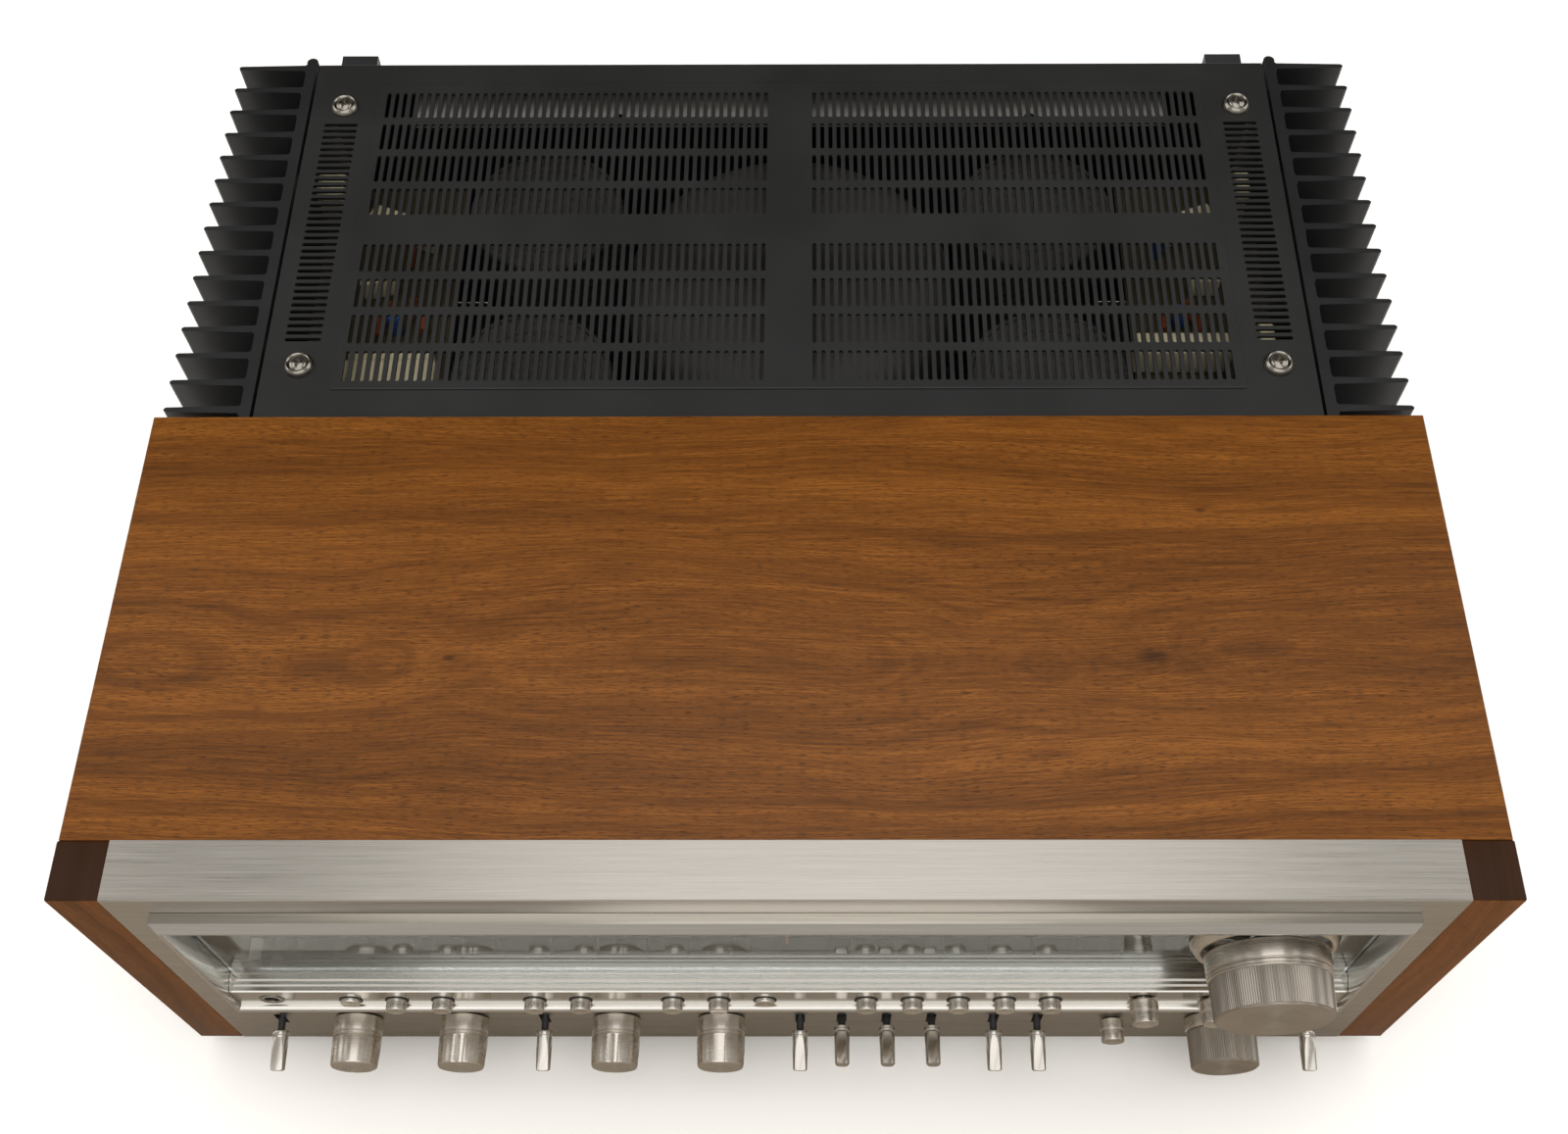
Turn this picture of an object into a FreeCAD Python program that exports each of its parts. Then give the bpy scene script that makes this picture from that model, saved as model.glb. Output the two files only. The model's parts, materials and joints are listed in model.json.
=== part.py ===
# Stereo receiver: wood cabinet and aluminium front, slotted steel cover, finned heat sinks.
# Millimetres. X to the right seen from the front, Y to the back, Z up.
# The origin is on the ground, below the middle of the whole object.
import FreeCAD, Part
import math
import os
import Sketcher

Vector = FreeCAD.Vector
doc = FreeCAD.newDocument("receiver")
nodes = []

# Depths are counted from the front of the faceplate: minus is towards the user.
driving = [
    ("half_width", 280, "half of the width over the wood posts"),
    ("full_height", 210, "ground to the wood top"),
    ("foot_height", 15, "feet, ground to chassis"),
    ("face_y", -218.75, "front of the faceplate in the frame"),
    ("post_width", 20.5, "front post, across"),
    ("post_depth", 24.3, "front post and top lip, front to back"),
    ("wood_reach", 221.5, "back edge of the wood"),
    ("wood_thick", 16, "wood panels"),
    ("wood_inset", 0.7, "wood sides set in from the posts"),
    ("plate_thick", 4, "faceplate wall"),
    ("frame_half", 244.5, "trim frame, half width"),
    ("frame_low", 81.2, "trim frame, bottom"),
    ("frame_high", 196, "trim frame, top"),
    ("frame_bar", 4.7, "trim frame, width of a bar"),
    ("frame_stand", 7.5, "trim frame, proud of the faceplate"),
    ("glass_low", 108, "lower edge of the dial glass"),
    ("glass_depth", 4, "front of the dial glass"),
    ("glass_thick", 3, "dial glass"),
    ("panel_stand", 4.5, "button panel, proud of the faceplate"),
    ("button_z", 92.5, "height of the button row"),
    ("button_half", 4.4, "push button radius"),
    ("button_out", 9.8, "push button, proud of the faceplate"),
    ("control_z", 47, "height of the lower controls"),
    ("tuning_x", 195, "tuning knob, across"),
    ("tuning_z", 150, "tuning knob, height"),
    ("tuning_out", 29, "tuning knob, proud of the faceplate"),
    ("knob_out", 22.5, "lower knobs, proud of the faceplate"),
    ("cover_half", 238, "top cover, half width"),
    ("cover_back", 442, "back edge of the top cover"),
    ("cover_top", 205, "top of the raised slotted panel"),
    ("cover_raise", 0.8, "height of the raised panel"),
    ("sheet_thick", 1.5, "steel sheet"),
    ("slot_pitch", 4, "ventilation slots, spacing"),
    ("slot_wide", 2, "ventilation slots, width"),
    ("slot_long", 16.6, "ventilation slots, length"),
    ("sink_inner", 239.2, "heat sink wall, inner face"),
    ("sink_wall", 5, "heat sink wall"),
    ("sink_reach", 279, "tips of the fins"),
    ("fin_pitch", 15, "heat sink fins, spacing"),
    ("fin_count", 15, "heat sink fins"),
    ("fin_thick", 3, "heat sink fin"),
    ("stand_back", 466.5, "back of the rear stand-offs"),
]

sheet = doc.addObject("Spreadsheet::Sheet", "sizes")
for row, (alias, number, meaning) in enumerate(driving, start=1):
    sheet.set(f"A{row}", meaning)
    sheet.set(f"B{row}", str(number))
    sheet.setAlias(f"B{row}", alias)
doc.recompute()


class Size:
    """A length that knows both its value and the spreadsheet formula behind it."""

    def __init__(self, value, formula):
        self.value = float(value)
        self.formula = formula

    def __add__(self, other):
        other = sized(other)
        return Size(self.value + other.value, f"({self.formula} + {other.formula})")

    def __sub__(self, other):
        other = sized(other)
        return Size(self.value - other.value, f"({self.formula} - {other.formula})")

    def __mul__(self, number):
        return Size(self.value * number, f"({self.formula} * {number})")

    def __neg__(self):
        return self * -1

    __radd__ = __add__

    def __rsub__(self, other):
        return sized(other) - self


def sized(number):
    """A plain number becomes a Size with itself as its formula."""
    if isinstance(number, Size):
        return number
    return Size(number, f"({number})")


def cell(alias):
    """The Size of one cell of the sheet."""
    return Size(sheet.get(alias), f"sizes.{alias}")


def depth(behind_face):
    """Frame Y of a place given by its depth behind the faceplate's front."""
    return cell("face_y") + behind_face


def bind(thing, prop, size):
    thing.setExpression(prop, sized(size).formula)


def place(thing, x, y, z, turn=None):
    """Put a thing somewhere, with its place bound to the sheet."""
    spot = Vector(sized(x).value, sized(y).value, sized(z).value)
    thing.Placement = FreeCAD.Placement(spot, turn or FreeCAD.Rotation())
    bind(thing, "Placement.Base.x", x)
    bind(thing, "Placement.Base.y", y)
    bind(thing, "Placement.Base.z", z)
    return thing


def keep(thing, label):
    """Make a thing one of the exported sub-parts."""
    thing.Label = label
    nodes.append(thing)
    return thing


def box(name, x0, x1, y0, y1, z0, z1):
    """A block between two corners."""
    block = doc.addObject("Part::Box", name)
    bind(block, "Length", sized(x1) - x0)
    bind(block, "Width", sized(y1) - y0)
    bind(block, "Height", sized(z1) - z0)
    return place(block, x0, y0, z0)


def round_bar(name, radius, start, end, x, z):
    """A cylinder that runs from depth start to depth end."""
    bar = doc.addObject("Part::Cylinder", name)
    bind(bar, "Radius", radius)
    bind(bar, "Height", sized(end) - start)
    backwards = FreeCAD.Rotation(Vector(1, 0, 0), -90)
    return place(bar, x, depth(start), z, backwards)


def upright(name, radius, x, y, z0, z1):
    """A cylinder that stands on z0."""
    post = doc.addObject("Part::Cylinder", name)
    bind(post, "Radius", radius)
    bind(post, "Height", sized(z1) - z0)
    return place(post, x, y, z0)


def fuse(name, things):
    joined = doc.addObject("Part::MultiFuse", name)
    joined.Shapes = things
    joined.Refine = True
    return joined


def group(name, things):
    """Separate solids that share one node."""
    bundle = doc.addObject("Part::Compound", name)
    bundle.Links = things
    return bundle


def cut(name, base, tools):
    tool = tools[0]
    if len(tools) > 1:
        tool = group(name + "_tools", tools)
    result = doc.addObject("Part::Cut", name)
    result.Base = base
    result.Tool = tool
    return result


def plane_of(body, role):
    return next(item for item in body.Origin.OriginFeatures if item.Role == role)


def outline(body, role, points, name="outline"):
    """A closed sketch through points, each of them held by the sheet."""
    sketch = body.newObject("Sketcher::SketchObject", f"{body.Name}_{name}")
    sketch.AttachmentSupport = [(plane_of(body, role), "")]
    sketch.MapMode = "FlatFace"
    spots = [(sized(across), sized(up)) for across, up in points]
    corners = [Vector(across.value, up.value, 0) for across, up in spots]
    for first, second in zip(corners, corners[1:] + corners[:1]):
        sketch.addGeometry(Part.LineSegment(first, second), False)
    count = len(corners)
    for index in range(count):
        sketch.addConstraint(Sketcher.Constraint("Coincident", index, 2, (index + 1) % count, 1))
    for index, (across, up) in enumerate(spots):
        for kind, size in (("DistanceX", across), ("DistanceY", up)):
            held = sketch.addConstraint(Sketcher.Constraint(kind, -1, 1, index, 1, size.value))
            if "sizes." in size.formula:
                sketch.setExpression(f"Constraints[{held}]", size.formula)
    return sketch


def circles(body, role, spots, name="holes"):
    """A sketch of round holes, each given by two places and a radius."""
    sketch = body.newObject("Sketcher::SketchObject", f"{body.Name}_{name}")
    sketch.AttachmentSupport = [(plane_of(body, role), "")]
    sketch.MapMode = "FlatFace"
    for index, (across, up, radius) in enumerate(spots):
        across, up, radius = sized(across), sized(up), sized(radius)
        middle = Vector(across.value, up.value, 0)
        sketch.addGeometry(Part.Circle(middle, Vector(0, 0, 1), radius.value), False)
        kinds = (("DistanceX", across), ("DistanceY", up))
        for kind, size in kinds:
            held = sketch.addConstraint(Sketcher.Constraint(kind, -1, 1, index, 3, size.value))
            if "sizes." in size.formula:
                sketch.setExpression(f"Constraints[{held}]", size.formula)
        sketch.addConstraint(Sketcher.Constraint("Radius", index, radius.value))
    return sketch


def new_body(label):
    body = doc.addObject("PartDesign::Body", label)
    return body


def pad(body, sketch, length, reverse=False):
    feature = body.newObject("PartDesign::Pad", f"{body.Name}_pad")
    feature.Profile = sketch
    bind(feature, "Length", length)
    feature.Reversed = reverse
    return feature


def pocket(body, sketch):
    """Cut a sketch right through, and make sure that it did cut."""
    doc.recompute()
    before = body.Shape.Volume
    feature = body.newObject("PartDesign::Pocket", f"{body.Name}_pocket")
    feature.Profile = sketch
    feature.Type = "ThroughAll"
    doc.recompute()
    if body.Shape.Volume > before - 1e-3:
        feature.Reversed = True
        doc.recompute()
    if body.Shape.Volume > before - 1e-3:
        raise RuntimeError(f"{feature.Name} cuts nothing")
    return feature


def turned(label, profile, x, y, z, turn=None):
    """A solid turned about the Y axis; profile points are radius and depth."""
    body = new_body(label)
    sketch = outline(body, "XY_Plane", profile)
    lathe = body.newObject("PartDesign::Revolution", f"{label}_turn")
    lathe.Profile = sketch
    lathe.ReferenceAxis = (sketch, ["V_Axis"])
    lathe.Angle = 360
    return place(body, x, y, z, turn)


def rectangle(x0, x1, z0, z1):
    return [(x0, z0), (x1, z0), (x1, z1), (x0, z1)]


# ---- wood

def make_wood():
    half = cell("half_width") - cell("wood_inset")
    thick = cell("wood_thick")
    top = cell("full_height")
    low = cell("foot_height")
    run = cell("wood_reach") - cell("post_depth")
    # the top and the sides meet in a mitre at each upper edge
    panel = new_body("wood_top")
    slab = [(-half, top), (half, top), (half - thick, top - thick), (thick - half, top - thick)]
    pad(panel, outline(panel, "XZ_Plane", slab), run, reverse=True)
    keep(place(panel, 0, depth(cell("post_depth")), 0), "wood_top")
    sides = []
    for hand in (-1, 1):
        side = new_body("wood_side_part")
        wall = [(half * hand, top), (half * hand, low), ((half - thick) * hand, low),
                ((half - thick) * hand, top - thick)]
        pad(side, outline(side, "XZ_Plane", wall), run, reverse=True)
        sides.append(place(side, 0, depth(cell("post_depth")), 0))
    keep(group("wood_sides", sides), "wood_sides")
    posts = []
    for hand in (-1, 1):
        post = new_body("post_part")
        outer = cell("half_width") * hand
        inner = (cell("half_width") - cell("post_width")) * hand
        shape = rectangle(outer, inner, low, top)
        pad(post, outline(post, "XZ_Plane", shape), cell("post_depth"), reverse=True)
        posts.append(place(post, 0, depth(0), 0))
    keep(group("front_posts", posts), "front_posts")


# ---- aluminium front

lever_x = (-233, -112, 5, 24, 44.5, 65, 93.5, 113.5, 236.5)
lever_up = (24, 44.5, 65)
lever_tilt = 10
tone_x = (-197, -148.5, -79, -31)
small_low_x = 147.4
small_high_x = (154.2, 184.6)
volume_x = 197
button_x = (-190, -170, -150, -110, -90, -50, -30, -10, 34, 54, 74, 94, 114)
latched_x = (-190, -10)
latched_travel = 3.3
jack_x = -224
shaft_radius = 3
low_shafts = tone_x + (small_low_x, volume_x)


def make_faceplate():
    plate = new_body("faceplate")
    half = cell("half_width") - cell("post_width")
    low = cell("foot_height")
    top = cell("full_height")
    wall = cell("plate_thick")
    reach = cell("post_depth")
    lip = 5
    low_reach = sub_front - 0.4
    edge = 0.5
    channel = [(0, low), (low_reach, low), (low_reach, low + lip), (wall, low + lip),
               (wall, top - lip), (reach, top - lip), (reach, top), (edge, top), (0, top - edge)]
    pad(plate, outline(plate, "YZ_Plane", channel), half * 2)
    place(plate, -half, depth(0), 0)
    margin = 2.5
    window = rectangle(half - cell("frame_half") + margin, half + cell("frame_half") - margin,
                       cell("frame_low") + margin, cell("frame_high") - margin)
    pocket(plate, outline(plate, "XZ_Plane", window, "window"))
    holes = [(half + x, cell("control_z"), shaft_radius + 1) for x in low_shafts]
    pocket(plate, circles(plate, "XZ_Plane", holes, "shaft_holes"))
    slot_half = 2.2
    slot_tall = 6.5
    for index, x in enumerate(lever_x):
        slot = rectangle(half + x - slot_half, half + x + slot_half,
                         cell("control_z") - slot_tall, cell("control_z") + slot_tall)
        pocket(plate, outline(plate, "XZ_Plane", slot, f"lever_slot{index}"))
    keep(plate, "faceplate")


def make_frame():
    frame = new_body("dial_frame")
    half = cell("frame_half")
    low = cell("frame_low")
    high = cell("frame_high")
    bar = cell("frame_bar")
    stand = cell("frame_stand")
    pad(frame, outline(frame, "XZ_Plane", rectangle(-half, half, low, high)), stand, reverse=True)
    # a sleeve carries the frame through the faceplate's window
    margin = 2.6
    sleeve = rectangle(margin - half, half - margin, low + margin, high - margin)
    pad(frame, outline(frame, "XZ_Plane", sleeve, "sleeve"), stand + 8, reverse=True)
    inside = rectangle(bar - half, half - bar, low + bar - 0.3, high - bar)
    pocket(frame, outline(frame, "XZ_Plane", inside, "inside"))
    keep(place(frame, 0, depth(-stand), 0), "dial_frame")


def make_glass():
    margin = 0.2
    half = cell("frame_half") - cell("frame_bar") - margin
    low = cell("glass_low")
    high = cell("frame_high") - cell("frame_bar") - margin
    near = cell("glass_depth")
    pane = box("glass_pane", -half, half, depth(near), depth(near + cell("glass_thick")), low, high)
    hole = round_bar("glass_hole", 6, near - 1, near + 6, cell("tuning_x"), cell("tuning_z"))
    keep(cut("dial_glass", pane, [hole]), "dial_glass")
    # the printed scale stands behind the glass, its top edge guides the pointer
    scale = box("scale_plate", -232, 225, depth(20), depth(21.5), 110, 187)
    hole = round_bar("scale_hole", 8, 18, 24, cell("tuning_x"), cell("tuning_z"))
    keep(cut("dial_scale", scale, [hole]), "dial_scale")


def make_button_panel():
    # one extrusion: the panel, and the ribbed ledge that rises from it to the glass
    panel = new_body("button_panel")
    margin = 0.2
    half = cell("frame_half") - cell("frame_bar") - margin
    stand = cell("panel_stand")
    low = cell("frame_low") + cell("frame_bar")
    top = cell("glass_low") - margin
    glass = cell("glass_depth")
    wall = 2
    profile = [(-stand, low), (-stand, top - 3.4), (-stand + 0.6, top - 3.0),
               (-stand + 2.2, top - 3.0), (-stand + 2.2, top - 2.4), (-stand + 3.0, top - 1.8),
               (-stand + 4.2, top - 1.8), (-stand + 4.2, top - 1.2), (-stand + 5.0, top - 0.6),
               (glass - 1.2, top - 0.6), (glass - 1.2, top), (glass + 3, top),
               (glass + 3, top - 4.5), (wall - stand, top - 6.5), (wall - stand, low)]
    pad(panel, outline(panel, "YZ_Plane", profile), half * 2)
    place(panel, -half, depth(0), 0)
    bezel_outer = cell("button_half") + 0.75
    holes = [(half + x, cell("button_z"), bezel_outer) for x in button_x]
    holes += [(half + x, cell("button_z"), shaft_radius + 0.6) for x in small_high_x]
    holes.append((half + jack_x, cell("button_z") + 1.5, 4.6))
    pocket(panel, circles(panel, "XZ_Plane", holes))
    keep(panel, "button_panel")
    rings = []
    for x in button_x:
        inner = cell("button_half") + 0.2
        near = -stand - 0.3
        far = wall - stand
        ring = turned("bezel_part", [(inner, near), (bezel_outer, near), (bezel_outer, far),
                                     (inner, far)], x, depth(0), cell("button_z"))
        rings.append(ring)
    keep(group("button_bezels", rings), "button_bezels")


def make_jack():
    # 6.35 mm headphone socket: threaded bush, nut and body
    bore = 3.25
    stand = cell("panel_stand")
    front = -stand - 1.6
    wall_back = 2 - stand
    profile = [(bore, front), (5.6, front), (5.6, -stand), (4.5, -stand), (4.5, wall_back),
               (7.5, wall_back), (7.5, 24), (bore, 24)]
    keep(turned("phones_jack", profile, jack_x, depth(0), cell("button_z") + 1.5), "phones_jack")


# ---- chassis and back

sub_front = 12
sub_back = 13.5


def make_chassis():
    sheet_thick = cell("sheet_thick")
    low = cell("foot_height")
    half = cell("cover_half")
    back = cell("cover_back") - 3.6
    tray = box("tray", -half, half, depth(sub_front), depth(back), low, low + sheet_thick)
    front = box("sub_panel", -half, half, depth(sub_front), depth(sub_back), low, 100)
    parts = [tray, front]
    for hand, x0 in (("left", -half), ("right", half - sheet_thick)):
        parts.append(box(f"rail_{hand}", x0, x0 + sheet_thick, depth(sub_front), depth(back), low, 60))
    shell = fuse("chassis_shell", parts)
    holes = []
    for x in low_shafts:
        holes.append(round_bar("shaft_hole", shaft_radius + 0.6, 10, 16, x, cell("control_z")))
    for x in button_x:
        holes.append(round_bar("stem_hole", 3, 10, 16, x, cell("button_z")))
    for x in small_high_x:
        holes.append(round_bar("high_hole", shaft_radius + 0.6, 10, 16, x, cell("button_z")))
    holes.append(round_bar("jack_hole", 8.2, 10, 16, jack_x, cell("button_z") + 1.5))
    keep(cut("chassis", shell, holes), "chassis")


def make_rear_panel():
    half = cell("cover_half")
    low = cell("foot_height") + cell("sheet_thick")
    near = cell("cover_back") - 3.4
    far = cell("cover_back") - 1.7
    wall = box("rear_wall", -half, half, depth(near), depth(far), low, cell("cover_top") - 2.6)
    holes = [round_bar("gland_hole", 6, 430, 450, -180, 50)]
    for x, z in phono_spots:
        holes.append(round_bar("phono_hole", 3, 430, 450, x, z))
    keep(cut("rear_panel", wall, holes), "rear_panel")


phono_spots = [(40 + column * 18, 130 + line * 20) for column in range(6) for line in range(2)]


def make_rear_terminals():
    far = cell("cover_back") - 1.7
    parts = []
    for x in (-150, -70):
        parts.append(box("speaker_block", x, x + 62, depth(far), depth(far + 14), 80, 125))
    for x, z in phono_spots:
        base = (0, far), (6.5, far), (6.5, far + 2), (4.2, far + 2), (4.2, far + 11), (0, far + 11)
        parts.append(turned("phono_part", list(base), x, depth(0), z))
    parts.append(box("aerial_block", 165, 190, depth(far), depth(far + 10), 80, 140))
    keep(group("rear_terminals", parts), "rear_terminals")


def make_gland():
    far = cell("cover_back") - 1.7
    bore = 4
    profile = [(bore, far - 5), (6, far - 5), (6, far), (9.5, far), (9.5, far + 5), (7, far + 9),
               (bore, far + 9)]
    keep(turned("cord_gland", profile, -180, depth(0), 50), "cord_gland")


stand_inner = 215.5
stand_wide = 18.5


def make_standoffs():
    near = cell("cover_back") - 1.7
    parts = []
    for hand in (-1, 1):
        low_x = min(stand_inner * hand, (stand_inner + stand_wide) * hand)
        block = box("stand_block", low_x, low_x + stand_wide, depth(near),
                    depth(cell("stand_back")), 40, 186)
        hollow = box("stand_hollow", low_x + 3, low_x + stand_wide - 3, depth(near - 1),
                     depth(cell("stand_back") - 3), 43, 183)
        parts.append(cut("stand_part", block, [hollow]))
    keep(group("rear_standoffs", parts), "rear_standoffs")


def make_feet():
    feet = []
    for x in (-205, 205):
        for behind in (45, 395):
            base = upright("foot_pad", 19, x, depth(behind), 0, 5)
            body = upright("foot_body", 16, x, depth(behind), 5, cell("foot_height"))
            feet.append(fuse("foot_part", [base, body]))
    keep(group("feet", feet), "feet")


# ---- top cover: a plate with a raised panel full of slots, bent down at the back

slot_columns = 48
first_slot_x = 12
slot_rows = (244.5, 265.4, 286.3, 307.2, 341.8, 362.7, 383.5, 404.4)
side_slots = 34
side_slot_x = 221.9
side_slot_y = 268.3
screw_spots = [(x, y) for x in (-221.5, 221.5) for y in (253.5, 412.5)]


def slot_wire(x, y, length, width, along_y, level):
    """A slot with round ends, as a closed wire."""
    radius = width / 2
    reach = length / 2 - radius
    side = Vector(radius, 0, 0) if along_y else Vector(0, radius, 0)
    ahead = Vector(0, 1, 0) if along_y else Vector(1, 0, 0)
    middle = Vector(x, y, level)
    first, second = middle - ahead * reach, middle + ahead * reach
    edges = [Part.makeLine(first + side, second + side),
             Part.Arc(second + side, second + ahead * radius, second - side).toShape(),
             Part.makeLine(second - side, first - side),
             Part.Arc(first - side, first - ahead * radius, first + side).toShape()]
    return Part.Wire(edges)


def round_wire(x, y, radius, level):
    return Part.Wire([Part.makeCircle(radius, Vector(x, y, level))])


def block_wire(x0, x1, y0, y1, level):
    corners = [Vector(x0, y0, level), Vector(x1, y0, level), Vector(x1, y1, level), Vector(x0, y1, level)]
    return Part.makePolygon(corners + corners[:1])


def layer(outer, holes, height):
    """A flat layer: an outline with holes, given a thickness upwards."""
    face = Part.Face([outer] + holes)
    face.validate()
    return face.extrude(Vector(0, 0, height))


def make_cover():
    half = sheet.get("cover_half")
    near = sheet.get("wood_reach") + 0.2
    far = sheet.get("cover_back")
    top = sheet.get("cover_top")
    step = sheet.get("cover_raise")
    thick = sheet.get("sheet_thick")
    wide = sheet.get("slot_wide")
    pitch = sheet.get("slot_pitch")
    long = sheet.get("slot_long")
    raised = (205.5, 240, 428)
    low = top - step - thick
    edges_hole = block_wire(-raised[0], raised[0], raised[1], raised[2], low)
    openings = [edges_hole]
    for hand in (-1, 1):
        for index in range(side_slots):
            y = side_slot_y + index * pitch
            openings.append(slot_wire(side_slot_x * hand, y, long, wide, False, low))
    for x, y in screw_spots:
        openings.append(round_wire(x, y, 2.5, low))
    rim = layer(block_wire(-half, half, near, far, low), openings, thick)
    slots = []
    for start in slot_rows:
        for index in range(slot_columns):
            for hand in (-1, 1):
                x = (first_slot_x + index * pitch) * hand
                slots.append(slot_wire(x, start + long / 2, long, wide, True, top - thick))
    panel = layer(block_wire(-raised[0], raised[0], raised[1], raised[2], top - thick), slots, thick)
    brim = [edge for edge in panel.Edges if edge.Length > 180 and abs(edge.CenterOfMass.z - top) < 0.01]
    panel = panel.makeFillet(step * 0.8, brim)
    flange_low = 187
    back = Part.makeBox(2 * half, thick, low - flange_low, Vector(-half, far - thick, flange_low))
    plate = rim.fuse([panel, back]).removeSplitter()
    # the bend at the back edge
    bend = [edge for edge in plate.Edges
            if abs(edge.CenterOfMass.y - far) < 0.01 and abs(edge.CenterOfMass.z - low - thick) < 0.01]
    plate = plate.makeFillet(thick * 0.9, bend)
    cover = doc.addObject("Part::Feature", "top_cover")
    cover.Shape = plate
    cover.Placement = FreeCAD.Placement(Vector(0, sheet.get("face_y"), 0), FreeCAD.Rotation())
    keep(cover, "top_cover")


def make_cover_screws():
    level = cell("cover_top") - cell("cover_raise")
    screws = []
    washers = []
    for x, y in screw_spots:
        flange = upright("washer_low", 6.8, x, depth(y), level, level + 1)
        crown = doc.addObject("Part::Cone", "washer_crown")
        crown.Radius1 = 6.8
        crown.Radius2 = 5.2
        crown.Height = 2
        place(crown, x, depth(y), level + 1)
        seat = upright("washer_seat", 4.2, x, depth(y), level + 1.2, level + 4)
        hole = upright("washer_hole", 2.3, x, depth(y), level - 1, level + 4)
        washers.append(cut("washer_part", fuse("washer_body", [flange, crown]), [seat, hole]))
        head = upright("screw_head", 4, x, depth(y), level + 1.2, level + 3.4)
        shank = upright("screw_shank", 2.2, x, depth(y), level - 9, level + 1.2)
        socket = box("screw_slot", x - 0.6, x + 0.6, depth(y - 2.4), depth(y + 2.4), level + 2.2, level + 4)
        socket2 = box("screw_slot", x - 2.4, x + 2.4, depth(y - 0.6), depth(y + 0.6), level + 2.2, level + 4)
        screws.append(cut("screw_part", fuse("screw_body", [head, shank]), [socket, socket2]))
    keep(group("cover_fasteners", screws + washers), "cover_fasteners")


def make_heatsinks():
    first_fin = 230.4
    flare = 1.6
    nose = 1
    fin_run = (int(sheet.get("fin_count")) - 1) * sheet.get("fin_pitch")
    back = first_fin + fin_run + 3
    for hand, side in ((-1, "left"), (1, "right")):
        sink = new_body(f"heatsink_{side}")
        inner = cell("sink_inner") * hand
        outer = (cell("sink_inner") + cell("sink_wall")) * hand
        tip = cell("sink_reach") * hand
        wall = rectangle(inner, outer, cell("wood_reach") + 0.3, back)
        pad(sink, outline(sink, "XY_Plane", wall), cell("cover_top") - 25)
        middle = (cell("sink_inner") + cell("sink_wall") * 0.5) * hand
        bead = circles(sink, "XY_Plane", [(middle, back - 1, 2.8)], "bead")
        pad(sink, bead, cell("cover_top") - 25)
        root_half = cell("fin_thick") * 0.65
        tip_half = cell("fin_thick") * 0.4
        root = outer - 1 * hand
        # one side of a fin from root to tip, flared into the wall, then mirrored
        edge = [(root, root_half + flare), (outer, root_half + flare), (outer + flare * hand, root_half),
                (tip - nose * hand, tip_half), (tip, tip_half - nose * 0.7)]
        fin = [(across, half + first_fin) for across, half in edge]
        fin += [(across, -half + first_fin) for across, half in reversed(edge)]
        first = pad(sink, outline(sink, "XY_Plane", fin, "fin"), cell("cover_top") - 27)
        fins = sink.newObject("PartDesign::LinearPattern", f"heatsink_{side}_fins")
        fins.Originals = [first]
        fins.Direction = (plane_of(sink, "Y_Axis"), [""])
        fins.Length = fin_run
        fins.Occurrences = int(sheet.get("fin_count"))
        sink.Tip = fins
        keep(place(sink, 0, depth(0), 25), f"heatsink_{side}")


# ---- inside

def make_transformer():
    # round shrouded transformer, turned about its upright axis
    body = new_body("transformer")
    low = 17
    top = 182
    radius = 80
    profile = [(0, low), (radius, low), (radius, top - 12), (radius - 4, top - 4),
               (radius - 12, top), (0, top)]
    sketch = outline(body, "XZ_Plane", profile)
    lathe = body.newObject("PartDesign::Revolution", "transformer_turn")
    lathe.Profile = sketch
    lathe.ReferenceAxis = (sketch, ["V_Axis"])
    lathe.Angle = 360
    keep(place(body, 0, depth(325), 0), "transformer")
    cans = []
    for x in (-124, 124):
        for behind in (276, 380):
            can = upright("can", 39, x, depth(behind), 18, 165)
            rim = upright("can_rim", 36, x, depth(behind), 163, 168)
            cans.append(cut("capacitor_part", can, [rim]))
    keep(group("filter_capacitors", cans), "filter_capacitors")


def make_boards():
    parts = []
    for hand, side in ((-1, "left"), (1, "right")):
        x = 196 * hand
        parts.append(box(f"amp_board_{side}", x - 0.8, x + 0.8, depth(235), depth(430), 40, 150))
    parts.append(box("tuner_board", -150, 40, depth(70), depth(200), 30, 31.6))
    parts.append(box("tone_board", 60, 225, depth(90), depth(200), 30, 31.6))
    keep(group("circuit_boards", parts), "circuit_boards")


def make_transistors():
    cans = []
    for hand in (-1, 1):
        for behind in (250, 283, 316, 349, 382, 415):
            face = cell("sink_inner") * hand
            can = doc.addObject("Part::Cylinder", "transistor_can")
            can.Radius = 10
            can.Height = 8
            inwards = FreeCAD.Rotation(Vector(0, 1, 0), -90 * hand)
            cans.append(place(can, face, depth(behind), 120, inwards))
    keep(group("output_transistors", cans), "output_transistors")


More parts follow.
